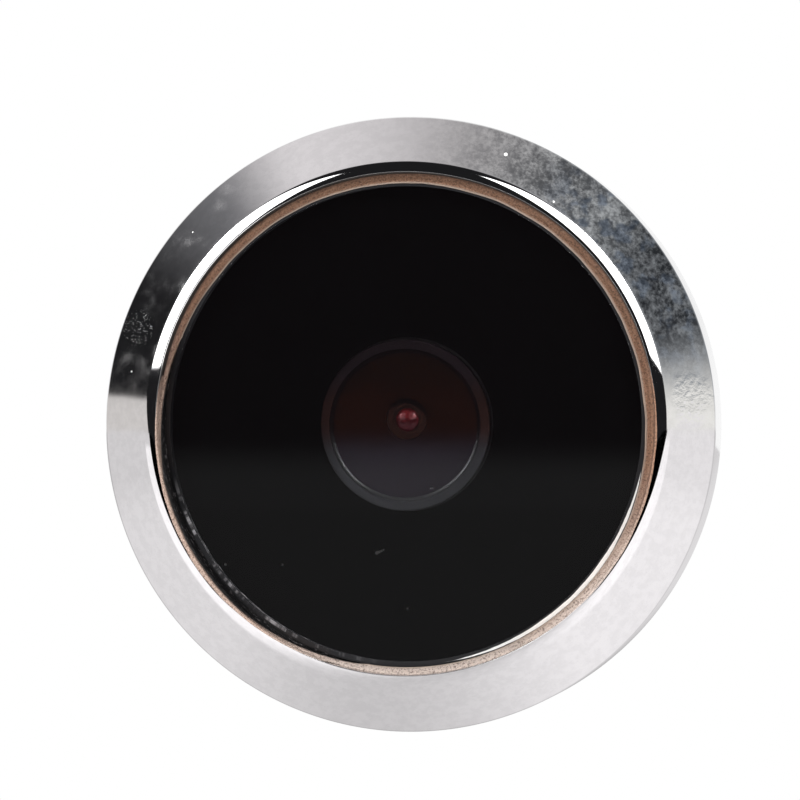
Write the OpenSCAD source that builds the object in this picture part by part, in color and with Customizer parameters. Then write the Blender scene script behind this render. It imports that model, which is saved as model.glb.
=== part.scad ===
// Peephole door camera: the outdoor camera head, its through-door barrel and the clamp behind the door.
// The outer door face is the plane y = 0. The camera looks along -Y and the barrel runs along +Y.
// Every module below is drawn about its own Z axis, with +Z towards the visitor, and then turned.

/* [Bezel] */
// Outside diameter of the bezel
bezel_d = 50; // [47:0.5:56]
// Radial width of the front face, from the rim to the window's well
face_w = 4.7; // [4:0.05:5.2]
// Slope of the bevelled part of the face
bevel_angle = 33; // [26:0.5:38]
// Rounding between the bevelled face and the side wall
rim_round = 0.4; // [0.15:0.05:0.8]
// Radius of the lip that rolls from the bevel over to the window's well
lip_r = 2.3; // [1:0.1:2.6]
// Wall of the bezel around the back plate
side_wall = 2; // [1.5:0.1:2.6]
// Width of the shoulder that the back plate seats on
shoulder_w = 2.1; // [1.7:0.1:2.6]
// Width of the ledge that carries the window
ledge_w = 3.15; // [2:0.05:4]
// Thickness of the ledge that carries the window
ledge_t = 1; // [0.8:0.1:1.6]
// Gap between the bezel's back rim and the door
rim_gap = 0.5; // [0.2:0.1:0.9]
// Diameter of the screw lugs inside the bezel
lug_d = 4.8; // [4:0.1:5.4]

/* [Window] */
// Thickness of the tinted window
window_t = 1.8; // [1.2:0.1:3]
// Depth of the window's face below the top of the lip
window_recess = 0.5; // [0.2:0.05:1]
// Ground chamfer round the window's edges
window_chamfer = 0.35; // [0.1:0.05:0.5]
// Width of the sealant between the window and the lip
seal_w = 0.65; // [0.45:0.05:1.6]
// Depth of the sealant below the window's face
seal_drop = 0.6; // [0.2:0.05:1]
// Thickness of the black mask film behind the window
film_t = 0.15; // [0.1:0.05:0.3]
// Bare border of the window outside the mask film
film_margin = 0.3; // [0.1:0.05:0.6]

/* [Lens] */
// Diameter of the lens barrel's front cap
cap_d = 13.9; // [12.8:0.1:14.5]
// Height of the lens barrel's front cap
cap_h = 1.4; // [1.2:0.1:2]
// Width of the raised rim round the cap's dish
cap_rim_w = 0.75; // [0.4:0.05:1.2]
// Depth of the dish in the cap's face
dish_depth = 0.5; // [0.3:0.05:0.7]
// Diameter of the recess that holds the aperture ring
aperture_d = 3.3; // [3:0.1:4]
// Height of the aperture ring
aperture_h = 0.45; // [0.3:0.05:0.6]
// Clear opening of the aperture ring
pupil_d = 1.9; // [1.5:0.1:2.1]
// Diameter of the front lens
front_lens_d = 2.4; // [2.2:0.1:2.6]
// Thickness of the front lens at its centre
front_lens_t = 1.3; // [1:0.1:1.6]
// Front radius of the front lens
front_lens_r = 1.9; // [1.5:0.1:3]
// Outside diameter of the lens barrel's focusing thread
focus_thread_d = 8; // [7.6:0.1:8.4]
// Length of the lens barrel behind its cap
lens_body_l = 8.5; // [8:0.1:10]
// Diameter of the inner lens group
group_d = 5.9; // [5:0.1:6.1]
// Thickness of the middle lens
middle_lens_t = 2; // [1.4:0.1:2.2]
// Thickness of the rear lens
rear_lens_t = 1.6; // [1.2:0.1:2]
// Length of the spacer between the two inner lenses
spacer_l = 1.6; // [1:0.1:2]
// Height of the lens retainer and of the focus lock ring
lens_ring_h = 0.6; // [0.5:0.1:1]
// Opening of the spacer and of the lens retainer
group_opening_d = 4.2; // [3:0.1:4.4]
// Diameter of the focus lock ring
lock_ring_d = 12; // [11:0.1:12.4]

/* [Sensor] */
// Gap left for focusing between the lens barrel and the filter web
focus_gap = 0.4; // [0.2:0.1:0.8]
// Thickness of the web that carries the filter
web_t = 0.4; // [0.3:0.1:0.8]
// Side of the square infrared cut filter
filter_w = 5.2; // [4.8:0.1:5.6]
// Thickness of the infrared cut filter
filter_t = 0.3; // [0.2:0.05:0.5]
// Height from the filter web to the sensor board
sensor_room = 2.1; // [1.8:0.1:3]
// Side of the image sensor package
sensor_w = 4.6; // [4:0.1:5]
// Height of the image sensor package
sensor_h = 1; // [0.7:0.1:1.2]
// Thickness of the sensor board
board_t = 0.8; // [0.6:0.1:1.6]
// Width of the flat cable connector
connector_w = 7; // [5:0.1:7.6]
// Height of the flat cable connector
connector_h = 1.4; // [1:0.1:2]

/* [Barrel] */
// Outside diameter of the barrel's thread
barrel_d = 14; // [13.6:0.1:15]
// Wall of the barrel under its thread
barrel_wall = 1.4; // [1.2:0.05:1.6]
// Pitch of the barrel's thread, the distance between its ridges
thread_pitch = 1.5; // [1:0.25:2]
// Depth of the grooves between the ridges
groove_depth = 0.7; // [0.4:0.05:0.8]
// Diameter of the barrel's flange inside the camera head
flange_d = 21; // [20:0.1:22]
// Thickness of the barrel's flange
flange_t = 1.2; // [1:0.1:2]
// Step from the thread down to the plain pilot at the barrel's inner end
pilot_step = 0.5; // [0.3:0.05:0.65]
// Length of the plain pilot
pilot_l = 8; // [6:0.5:14]
// Width of the keyway along the barrel
keyway_w = 3; // [2:0.1:4]
// Depth of the keyway below the thread
keyway_depth = 0.8; // [0.5:0.05:1]
// Chamfer at the barrel's inner end
end_chamfer = 0.5; // [0.2:0.05:0.8]

/* [Back plate] */
// Thickness of the back plate
plate_t = 2; // [1.8:0.1:3]
// Thickness of the door gasket
gasket_t = 1.2; // [1:0.1:2.5]
// Thickness of the lens mount's flange
mount_flange_t = 1; // [0.8:0.1:1.6]
// Cord diameter of the back plate's seal ring
o_ring_d = 0.68; // [0.5:0.02:0.8]
// Number of screws in each ring of screws
screw_count = 3; // [3:1:4]
// Thread diameter of the screws that hold the back plate
plate_screw_d = 2; // [1.6:0.1:2.2]
// Length of the screws that hold the back plate
plate_screw_l = 4; // [2.5:0.1:4.2]
// Thread diameter of the screws that hold the lens mount
core_screw_d = 1.6; // [1.2:0.1:1.6]

/* [Clamp] */
// Thickness of the door that the clamp is set to
door_t = 40; // [37:1:48]
// Thickness of the thinnest door
door_min = 35; // [30:1:36]
// Thickness of the thickest door
door_max = 50; // [49:1:70]
// Diameter of the clamp washer
washer_d = 28; // [25:0.5:34]
// Thickness of the clamp washer
washer_t = 1.5; // [1:0.1:2.5]
// Thickness of the rubber pad on the clamp washer
pad_t = 1.5; // [1:0.1:3]
// Diameter of the ring nut over its ribs
nut_d = 24; // [21:0.5:24.5]
// Height of the ring nut
nut_h = 8; // [5:0.5:12]
// Number of grip grooves round the ring nut
groove_count = 30; // [20:1:36]
// Radius of each grip groove
groove_r = 0.9; // [0.5:0.05:1]
// Width of the two spanner slots in the ring nut
slot_w = 2.6; // [1.6:0.1:4]
// Depth of the two spanner slots in the ring nut
slot_depth = 1.8; // [1:0.1:3]

/* [Cable bush] */
// Hole for the flat cable's round tail
cable_d = 5.2; // [3:0.1:6]
// Length of the bush inside the barrel
bush_l = 6; // [4:0.5:10]
// Overlap of the bush's head on the barrel's end
bush_lip = 0.6; // [0.4:0.05:0.7]
// Height of the bush's head
bush_head_h = 1.2; // [0.8:0.1:2]

/* [Clearances] */
// Gap between bonded or seated pieces
seat_gap = 0.03; // [0.02:0.01:0.06]
// Radial gap of a hole round the piece that passes through it
pass_gap = 0.1; // [0.05:0.01:0.2]
// Radial gap between the barrel's thread and the ring nut
thread_gap = 0.05; // [0.03:0.01:0.08]
// Gap between the keyway and the washer's tongue
key_gap = 0.15; // [0.1:0.01:0.25]
// Gap between the lens cap and the mask film behind the window
cap_gap = 0.1; // [0.05:0.05:0.3]
// Gap of the door gasket and the foam round the pieces inside them
soft_gap = 0.3; // [0.2:0.05:0.5]

/* [Hidden] */
$fn = 96;
// Overlap that lets one cut or join run past another face
eps = 0.01;

// Heights along the axis, from the door plane towards the visitor
plate_z = gasket_t;
shoulder_z = plate_z + plate_t;
mount_z = shoulder_z + flange_t;
mount_front_z = mount_z + mount_flange_t;
cap_z = mount_front_z + lens_ring_h;
cap_front_z = cap_z + cap_h;
ledge_z = cap_front_z + cap_gap;
window_z = ledge_z + film_t;
window_front_z = window_z + window_t;
lip_z = window_front_z + window_recess;
seal_z = window_front_z - seal_drop;

// Radii of the camera head, from the rim inwards
bezel_r = bezel_d / 2;
pocket_r = bezel_r - side_wall;
cavity_r = pocket_r - shoulder_w;
plate_r = pocket_r - pass_gap;
lip_in_r = bezel_r - face_w;
ledge_r = lip_in_r - ledge_w;
window_r = lip_in_r - seal_w;
film_r = window_r - film_margin;

// The bevelled face touches both the rolled lip and the rounding at the rim
bevel_n = [sin(bevel_angle), cos(bevel_angle)];
lip_c = [lip_in_r, lip_z - lip_r];
rim_c_r = bezel_r - rim_round;
rim_c = [rim_c_r, (bevel_n * lip_c + lip_r - rim_round - bevel_n[0] * rim_c_r) / bevel_n[1]];

// Diameters of the barrel and of the bush in its end
bore_d = barrel_d - 2 * barrel_wall;
pilot_d = barrel_d - 2 * pilot_step;
bush_head_d = bore_d + 2 * bush_lip;

// Screws: a pan head is this many times the thread's diameter across, and this many times as high
head_d_ratio = 1.8;
head_h_ratio = 0.5;
// Share of the head's height and diameter that the cross recess takes
cross_depth_share = 0.6;
cross_l_share = 0.65;
cross_w_share = 0.18;
lug_sink = 0.7;
lug_pitch_r = cavity_r + lug_sink - lug_d / 2;
head_pocket = head_h_ratio * plate_screw_d + pass_gap;
core_pitch_r = (barrel_d + flange_d) / 4;
core_grip = mount_flange_t + flange_t;
core_bite_share = 0.8;
core_screw_l = core_grip + core_bite_share * plate_t;
core_head_z = mount_front_z + head_h_ratio * core_screw_d;

// The seal ring lies in a square groove in the middle of the shoulder
o_ring_r = (cavity_r + plate_r) / 2;
groove_w = o_ring_d + 2 * seat_gap;

// Heights inside the lens barrel, from its cap backwards
dish_z = cap_front_z - dish_depth;
ring_z = dish_z - aperture_h - seat_gap;
lens_seat_z = ring_z - front_lens_t;
stop_d = 1.4;
stop_t = 0.4;
group_z = lens_seat_z - stop_t;
middle_lens_z = group_z - middle_lens_t;
spacer_z = middle_lens_z - spacer_l;
rear_lens_z = spacer_z - rear_lens_t;
retainer_z = rear_lens_z - lens_ring_h;
lens_back_z = cap_z - lens_body_l;
web_z = lens_back_z - focus_gap;
filter_z = web_z - web_t - filter_t;
board_z = web_z - web_t - sensor_room;
spigot_r = bore_d / 2 - pass_gap;
focus_bore_r = focus_thread_d / 2 + thread_gap;
spigot_wall = 0.9;
sensor_bore_r = spigot_r - spigot_wall;
web_opening_r = group_opening_d / 2;

// Places along the barrel, behind the door
pad_z = -door_t - pad_t;
washer_z = pad_z - washer_t;
nut_z = washer_z - seat_gap - nut_h;
nut_travel = door_max - door_t;
thread_spare = 1;
thread_end_z = nut_z - nut_travel - thread_spare;
run_out_z = thread_end_z + pilot_step;
// Share of the thread's pitch that its crest takes, and each flank of its groove
crest_share = 0.2;
flank_share = 0.3;
ridge_count = floor(-run_out_z / thread_pitch);
barrel_end_z = thread_end_z - pilot_l;
keyway_start_z = -door_min + soft_gap;
washer_bore_r = barrel_d / 2 + pass_gap;
tongue_tip_r = barrel_d / 2 - keyway_depth + key_gap;
nut_chamfer = 0.8;
washer_chamfer = 0.3;

// Points of an arc in a profile, from angle a0 to a1
function arc(centre, r, a0, a1, n = 8) =
    [for (i = [0:n]) let (a = a0 + (a1 - a0) * i / n) centre + r * [cos(a), sin(a)]];

// Outline of the thread's ridges, from its start backwards, as plain rings
function ridges(r, start_z, count) =
    [for (i = [0:count - 1]) let (z = start_z - i * thread_pitch, root_r = r - groove_depth) each [
        [r, z - crest_share * thread_pitch],
        [root_r, z - (crest_share + flank_share) * thread_pitch],
        [root_r, z - (1 - flank_share) * thread_pitch],
        [r, z - thread_pitch]]];

// Turns a piece from its own Z axis to the door's axis
module facing() {
    rotate([90, 0, 0]) children();
}

// A turned piece from its outline in radius and height
module turned(outline) {
    rotate_extrude() polygon(outline);
}

// A plain ring between two radii
module ring(r_in, r_out, z, h) {
    turned([[r_in, z], [r_out, z], [r_out, z + h], [r_in, z + h]]);
}

// A disc with the same chamfer on both edges
module chamfered_disc(r, z, h, chamfer) {
    turned([[0, z], [r - chamfer, z], [r, z + chamfer],
        [r, z + h - chamfer], [r - chamfer, z + h], [0, z + h]]);
}

// A ring with the same chamfer on both outer edges
module chamfered_ring(r_in, r_out, z, h, chamfer) {
    turned([[r_in, z], [r_out - chamfer, z], [r_out, z + chamfer], [r_out, z + h - chamfer],
        [r_out - chamfer, z + h], [r_in, z + h]]);
}

// Copies in a ring, the first one straight up
module ring_of(count, r) {
    for (i = [0:count - 1]) rotate(90 + 360 * i / count) translate([r, 0, 0]) children();
}

// A pan head screw with its head's underside at z = 0 and its head towards +Z
module pan_screw(d, l) {
    head_d = head_d_ratio * d;
    head_h = head_h_ratio * d;
    recess = cross_depth_share * head_h;
    difference() {
        union() {
            cylinder(d = head_d, h = head_h);
            translate([0, 0, -l]) cylinder(d = d, h = l + eps);
        }
        for (turn = [0, 90]) rotate(turn)
            translate([0, 0, head_h - recess / 2 + eps])
                cube([cross_l_share * head_d, cross_w_share * head_d, recess + eps], center = true);
    }
}

// A lens with a convex front of radius front_r, on a flat back
module domed_lens(d, z, t, front_r) {
    intersection() {
        translate([0, 0, z]) cylinder(d = d, h = t);
        translate([0, 0, z + t - front_r]) sphere(r = front_r);
    }
}

// Die-cast ring: bevelled face, rolled lip, ledge for the window, pocket for the back plate and its lugs
module front_bezel() {
    lug_hole_l = plate_screw_l - plate_t + head_pocket + pass_gap;
    color("silver") difference() {
        union() {
            turned(concat(
                [[pocket_r, rim_gap], [bezel_r, rim_gap]],
                arc(rim_c, rim_round, 0, 90 - bevel_angle, 4),
                arc(lip_c, lip_r, 90 - bevel_angle, 90),
                [[lip_in_r, ledge_z], [ledge_r, ledge_z], [ledge_r, ledge_z - ledge_t],
                    [cavity_r, ledge_z - ledge_t], [cavity_r, shoulder_z], [pocket_r, shoulder_z]]));
            intersection() {
                ring_of(screw_count, lug_pitch_r)
                    translate([0, 0, shoulder_z])
                        cylinder(d = lug_d, h = ledge_z - ledge_t - shoulder_z + eps);
                translate([0, 0, shoulder_z]) cylinder(r = cavity_r + lug_sink, h = ledge_z - shoulder_z);
            }
        }
        ring_of(screw_count, lug_pitch_r)
            translate([0, 0, shoulder_z - eps])
                cylinder(d = plate_screw_d + 2 * seat_gap, h = lug_hole_l);
    }
}

// Tinted window with ground edges
module window_glass() {
    color([0.03, 0.03, 0.04, 0.6])
        chamfered_disc(window_r, window_z, window_t, window_chamfer);
}

// Bead of brown sealant between the window's edge and the lip
module window_seal() {
    color("rosybrown") ring(window_r + seat_gap, lip_in_r - seat_gap, ledge_z, seal_z - ledge_z);
}

// Black film behind the window, clear over the lens
module mask_film() {
    color("black") ring(cap_d / 2 + pass_gap, film_r, ledge_z, film_t);
}

// Foam ring that keeps stray light in the window off the lens
module light_seal() {
    bottom = core_head_z + soft_gap / 2;
    color("dimgray") ring(cap_d / 2 + soft_gap, flange_d / 2, bottom, ledge_z - bottom);
}

// Lens barrel: dished cap in front, focusing thread behind, stepped bore for the lenses
module lens_barrel() {
    cap_r = cap_d / 2;
    dish_r = cap_r - cap_rim_w;
    dish_taper = dish_depth / 2;
    edge = cap_rim_w / 6;
    lens_r = front_lens_d / 2 + seat_gap;
    group_r = group_d / 2 + seat_gap;
    body_r = focus_thread_d / 2;
    color("black") turned([
        [body_r, cap_z], [cap_r, cap_z], [cap_r, cap_front_z - edge], [cap_r - edge, cap_front_z],
        [dish_r, cap_front_z], [dish_r - dish_taper, dish_z],
        [aperture_d / 2, dish_z], [aperture_d / 2, ring_z],
        [lens_r, ring_z], [lens_r, lens_seat_z], [stop_d / 2, lens_seat_z], [stop_d / 2, group_z],
        [group_r, group_z], [group_r, lens_back_z], [body_r, lens_back_z]]);
}

// Small coated lens at the camera's pupil
module front_lens() {
    color("darkred") domed_lens(front_lens_d, lens_seat_z, front_lens_t, front_lens_r);
}

// Ring that holds the front lens in its recess
module aperture_ring() {
    color("dimgray") ring(pupil_d / 2, aperture_d / 2 - seat_gap, ring_z, aperture_h);
}

// Inner lens under the stop
module middle_lens() {
    color("lightsteelblue") domed_lens(group_d, middle_lens_z, middle_lens_t, group_d);
}

// Tube that keeps the inner lenses apart
module lens_spacer() {
    color("black") ring(group_opening_d / 2, group_d / 2, spacer_z, spacer_l);
}

// Lens in front of the sensor
module rear_lens() {
    color("lightsteelblue") domed_lens(group_d, rear_lens_z, rear_lens_t, group_d);
}

// Ring that closes the lens barrel behind the rear lens
module lens_retainer() {
    color("black") ring(group_opening_d / 2, group_d / 2, retainer_z, lens_ring_h);
}

// Ring with spanner notches that locks the lens barrel at its focus
module focus_lock_ring() {
    notch = lens_ring_h;
    color("dimgray") difference() {
        ring(focus_bore_r, lock_ring_d / 2, mount_front_z, lens_ring_h);
        ring_of(4, lock_ring_d / 2)
            translate([-notch, -notch, mount_front_z - eps])
                cube([2 * notch, 2 * notch, lens_ring_h + 2 * eps]);
    }
}

// Moulded mount: flange on the barrel, threaded bore for the lens, web for the filter, seat for the board
module lens_mount() {
    color("black") difference() {
        turned([
            [focus_bore_r, mount_front_z], [flange_d / 2, mount_front_z], [flange_d / 2, mount_z],
            [spigot_r, mount_z], [spigot_r, board_z],
            [sensor_bore_r, board_z], [sensor_bore_r, web_z - web_t],
            [web_opening_r, web_z - web_t], [web_opening_r, web_z], [focus_bore_r, web_z]]);
        ring_of(screw_count, core_pitch_r)
            translate([0, 0, mount_z - eps])
                cylinder(d = core_screw_d + 2 * pass_gap, h = mount_flange_t + 2 * eps);
    }
}

// Square of coated glass under the web
module ir_cut_filter() {
    color("palevioletred")
        translate([-filter_w / 2, -filter_w / 2, filter_z]) cube([filter_w, filter_w, filter_t]);
}

// Sensor package: ceramic base with a smaller cover glass
module image_sensor() {
    lid_share = 0.8;
    base_h = sensor_h / 2;
    lid_w = lid_share * sensor_w;
    color("slategray") {
        translate([-sensor_w / 2, -sensor_w / 2, board_z]) cube([sensor_w, sensor_w, base_h]);
        translate([-lid_w / 2, -lid_w / 2, board_z + base_h - eps])
            cube([lid_w, lid_w, sensor_h - base_h + eps]);
    }
}

// Round board bonded to the back of the lens mount
module sensor_board() {
    color("darkgreen") translate([0, 0, board_z - board_t]) cylinder(r = spigot_r - pass_gap, h = board_t);
}

// Socket for the flat cable, with its slot towards the barrel's inner end
module cable_connector() {
    depth = 2.6;
    wall = 0.5;
    top = board_z - board_t;
    color("ivory") difference() {
        translate([-connector_w / 2, -depth / 2, top - connector_h])
            cube([connector_w, depth, connector_h]);
        translate([-connector_w / 2 + wall, -depth / 2 + wall, top - connector_h - eps])
            cube([connector_w - 2 * wall, depth - 2 * wall, connector_h - wall]);
    }
}

// Screws that clamp the lens mount and the barrel's flange to the back plate
module core_screws() {
    color("gray") ring_of(screw_count, core_pitch_r)
        translate([0, 0, mount_front_z]) pan_screw(core_screw_d, core_screw_l);
}

// Hollow barrel: flange inside the head, ridged thread through the door, keyway, plain pilot at the inner end
module threaded_barrel() {
    barrel_r = barrel_d / 2;
    pilot_r = pilot_d / 2;
    keyway_floor_r = barrel_r - keyway_depth;
    color("darkgray") difference() {
        turned(concat(
            [[bore_d / 2, mount_z], [flange_d / 2, mount_z],
                [flange_d / 2, shoulder_z], [barrel_r, shoulder_z]],
            ridges(barrel_r, 0, ridge_count),
            [[barrel_r, run_out_z], [pilot_r, thread_end_z],
                [pilot_r, barrel_end_z + end_chamfer], [pilot_r - end_chamfer, barrel_end_z],
                [bore_d / 2, barrel_end_z]]));
        ring_of(screw_count, core_pitch_r)
            translate([0, 0, shoulder_z - eps])
                cylinder(d = core_screw_d + 2 * pass_gap, h = flange_t + 2 * eps);
        translate([-keyway_w / 2, keyway_floor_r, barrel_end_z - eps])
            cube([keyway_w, barrel_r, keyway_start_z - barrel_end_z + eps]);
    }
}

// Plate that closes the bezel: hole for the barrel, sunk heads behind, groove for its seal in front
module back_plate() {
    color("gray") difference() {
        ring(barrel_d / 2 + pass_gap, plate_r, plate_z, plate_t);
        ring(o_ring_r - groove_w / 2, o_ring_r + groove_w / 2, shoulder_z - groove_w, groove_w + eps);
        ring_of(screw_count, lug_pitch_r) {
            translate([0, 0, plate_z - eps])
                cylinder(d = plate_screw_d + 2 * pass_gap, h = plate_t + 2 * eps);
            translate([0, 0, plate_z - eps])
                cylinder(d = head_d_ratio * plate_screw_d + 2 * pass_gap, h = head_pocket + eps);
        }
        ring_of(screw_count, core_pitch_r)
            translate([0, 0, shoulder_z - core_bite_share * plate_t - pass_gap])
                cylinder(d = core_screw_d + 2 * seat_gap, h = core_bite_share * plate_t + pass_gap + eps);
    }
}

// Rubber ring in the back plate's groove
module plate_seal() {
    color("black") rotate_extrude()
        translate([o_ring_r, shoulder_z - groove_w / 2]) circle(d = o_ring_d);
}

// Screws from behind, through the back plate into the bezel's lugs
module plate_screws() {
    color("gray") ring_of(screw_count, lug_pitch_r)
        translate([0, 0, plate_z + head_pocket]) mirror([0, 0, 1]) pan_screw(plate_screw_d, plate_screw_l);
}

// Foam rubber ring between the camera head and the door
module door_gasket() {
    color("black") ring(barrel_d / 2 + soft_gap, plate_r - soft_gap, 0, gasket_t);
}

// Rubber bush that guards the cable at the barrel's inner end
module cable_bush() {
    head_edge = bush_head_h / 3;
    head_z = barrel_end_z - bush_head_h;
    plug_r = bore_d / 2 - seat_gap;
    color("black") turned([
        [cable_d / 2, head_z], [bush_head_d / 2 - head_edge, head_z], [bush_head_d / 2, head_z + head_edge],
        [bush_head_d / 2, barrel_end_z], [plug_r, barrel_end_z], [plug_r, barrel_end_z + bush_l],
        [cable_d / 2, barrel_end_z + bush_l]]);
}

// Steel washer whose tongue rides in the keyway
module clamp_washer() {
    color("lightgray") union() {
        chamfered_ring(washer_bore_r, washer_d / 2, washer_z, washer_t, washer_chamfer);
        translate([-keyway_w / 2 + key_gap, tongue_tip_r, washer_z])
            cube([keyway_w - 2 * key_gap, washer_bore_r - tongue_tip_r + keyway_depth, washer_t]);
    }
}

// Rubber pad that meets the door's inner face
module clamp_pad() {
    pad_in_r = barrel_d / 2 + soft_gap;
    pad_out_r = washer_d / 2 - soft_gap;
    color("black") chamfered_ring(pad_in_r, pad_out_r, pad_z, pad_t, washer_chamfer);
}

// Ring nut with grip grooves and two spanner slots
module clamp_nut() {
    nut_r = nut_d / 2;
    bore_r = barrel_d / 2 + thread_gap;
    lead_in = nut_chamfer / 2;
    color("silver") difference() {
        turned([
            [bore_r, nut_z + lead_in], [bore_r + lead_in, nut_z], [nut_r - nut_chamfer, nut_z],
            [nut_r, nut_z + nut_chamfer], [nut_r, nut_z + nut_h - nut_chamfer],
            [nut_r - nut_chamfer, nut_z + nut_h],
            [bore_r + lead_in, nut_z + nut_h], [bore_r, nut_z + nut_h - lead_in]]);
        ring_of(groove_count, nut_r + groove_r / 3)
            translate([0, 0, nut_z - eps]) cylinder(r = groove_r, h = nut_h + 2 * eps, $fn = 24);
        translate([-nut_d, -slot_w / 2, nut_z - eps]) cube([2 * nut_d, slot_w, slot_depth + eps]);
    }
}

facing() front_bezel();
facing() window_glass();
facing() window_seal();
facing() mask_film();
facing() light_seal();
facing() lens_barrel();
facing() front_lens();
facing() aperture_ring();
facing() middle_lens();
facing() lens_spacer();
facing() rear_lens();
facing() lens_retainer();
facing() focus_lock_ring();
facing() lens_mount();
facing() ir_cut_filter();
facing() image_sensor();
facing() sensor_board();
facing() cable_connector();
facing() core_screws();
facing() threaded_barrel();
facing() back_plate();
facing() plate_seal();
facing() plate_screws();
facing() door_gasket();
facing() cable_bush();
facing() clamp_washer();
facing() clamp_pad();
facing() clamp_nut();
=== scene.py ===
"""Peephole door camera: the dressed pieces, their finishes, and the studio they stand in."""

import logging
import math
from dataclasses import dataclass, field
from enum import Enum
from functools import reduce
from operator import or_
from typing import Callable, Iterable, Optional, Sequence, Union

import bpy
from mathutils import Matrix, Vector, noise


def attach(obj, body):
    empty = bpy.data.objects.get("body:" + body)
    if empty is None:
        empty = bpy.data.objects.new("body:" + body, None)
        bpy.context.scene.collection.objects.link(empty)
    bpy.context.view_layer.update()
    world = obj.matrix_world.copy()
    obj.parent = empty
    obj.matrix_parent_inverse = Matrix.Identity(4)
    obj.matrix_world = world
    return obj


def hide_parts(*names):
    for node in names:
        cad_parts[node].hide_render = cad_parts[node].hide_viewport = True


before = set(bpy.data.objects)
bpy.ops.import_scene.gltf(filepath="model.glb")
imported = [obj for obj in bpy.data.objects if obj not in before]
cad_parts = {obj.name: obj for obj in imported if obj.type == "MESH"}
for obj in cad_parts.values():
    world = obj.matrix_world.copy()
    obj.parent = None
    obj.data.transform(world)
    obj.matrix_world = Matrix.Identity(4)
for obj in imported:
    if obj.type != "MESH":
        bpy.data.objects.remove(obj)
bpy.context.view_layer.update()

LOG = logging.getLogger("door_camera")
MM = 0.001
MERGE = 0.0008 * MM

Point = tuple[float, float]
Spot = tuple[float, float, float]
Fade = tuple[float, float, float, float]
Colour = tuple[float, float, float]
Key = Union[int, str]
Sockets = bpy.types.bpy_prop_collection
Feed = Union["Wire", float, Sequence[float]]


class Body(Enum):
    """The rigid bodies that pieces ride on."""

    CAMERA = "camera"
    WASHER = "washer"
    NUT = "nut"


class Cut(Enum):
    """What a cutter does to the piece that it meets."""

    AWAY = "DIFFERENCE"
    ON = "UNION"


class Cells(Enum):
    """The kinds of rubber surface."""

    MOULDED = "moulded"
    FOAM = "foam"


def polar(place: Vector) -> tuple[float, float]:
    """Gives a place's radius from the axis and its height towards the visitor, in millimetres."""
    return math.hypot(place.x, place.z) / MM, -place.y / MM


def arc(centre: Point, radius: float, start: float, end: float, steps: int) -> list[Point]:
    """Gives the points of an arc in an outline.

    Args:
        centre: middle of the arc, as radius and height in millimetres.
        radius: radius of the arc.
        start: first angle in degrees, from the outward direction.
        end: last angle in degrees.
        steps: number of straight steps.

    Returns:
        The points, both ends included.
    """
    points = []
    for i in range(steps + 1):
        angle = math.radians(start + (end - start) * i / steps)
        points.append((centre[0] + radius * math.cos(angle), centre[1] + radius * math.sin(angle)))
    return points


def between(first: Point, last: Point, count: int) -> list[Point]:
    """Gives evenly spaced points strictly between two points.

    Args:
        first: point before the first one given.
        last: point after the last one given.
        count: how many points.

    Returns:
        The points in order.
    """
    steps = count + 1
    return [
        (first[0] + (last[0] - first[0]) * i / steps, first[1] + (last[1] - first[1]) * i / steps)
        for i in range(1, steps)
    ]


def grooves(
    middles: Iterable[float], mouth: float, floor: float, face: float, bottom: float
) -> list[Point]:
    """Gives the part of an outline that runs through round grooves in a face.

    Args:
        middles: radius of the middle of each groove, from the outermost inwards.
        mouth: half of a groove's width at the face.
        floor: half of its width at its bottom.
        face: height of the face.
        bottom: height of the grooves' bottom.

    Returns:
        The points in order.
    """
    points = []
    for r in middles:
        points += [(r + mouth, face), (r + floor, bottom), (r - floor, bottom), (r - mouth, face)]
    return points


def soften(outline: Sequence[Point], radius: float, closed: bool = True) -> list[Point]:
    """Rounds the sharp corners of an outline and puts a support point beside each one.

    Args:
        outline: corners as radius and height in millimetres.
        radius: radius of the rounding, less where an edge is short.
        closed: whether the last corner joins the first.

    Returns:
        The rounded outline.
    """
    sharp_turn = math.radians(20)
    support = 1.5
    edge_share = 0.3
    steps = 3
    count = len(outline)
    rounded: list[Point] = []
    for i, corner in enumerate(outline):
        if not closed and i in (0, count - 1):
            rounded.append(corner)
            continue
        here = Vector(corner)
        back = Vector(outline[i - 1]) - here
        ahead = Vector(outline[(i + 1) % count]) - here
        turn = math.pi - back.angle(ahead)
        if turn < sharp_turn:
            rounded.append(corner)
            continue
        room = min(back.length, ahead.length)
        reach = min(radius * math.tan(turn / 2), edge_share * room)
        start = here + back.normalized() * reach
        end = here + ahead.normalized() * reach
        rounded.append(tuple(here + back.normalized() * reach * support))
        for k in range(steps + 1):
            u = k / steps
            rounded.append(tuple((1 - u) ** 2 * start + 2 * u * (1 - u) * here + u**2 * end))
        rounded.append(tuple(here + ahead.normalized() * reach * support))
    return rounded


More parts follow.
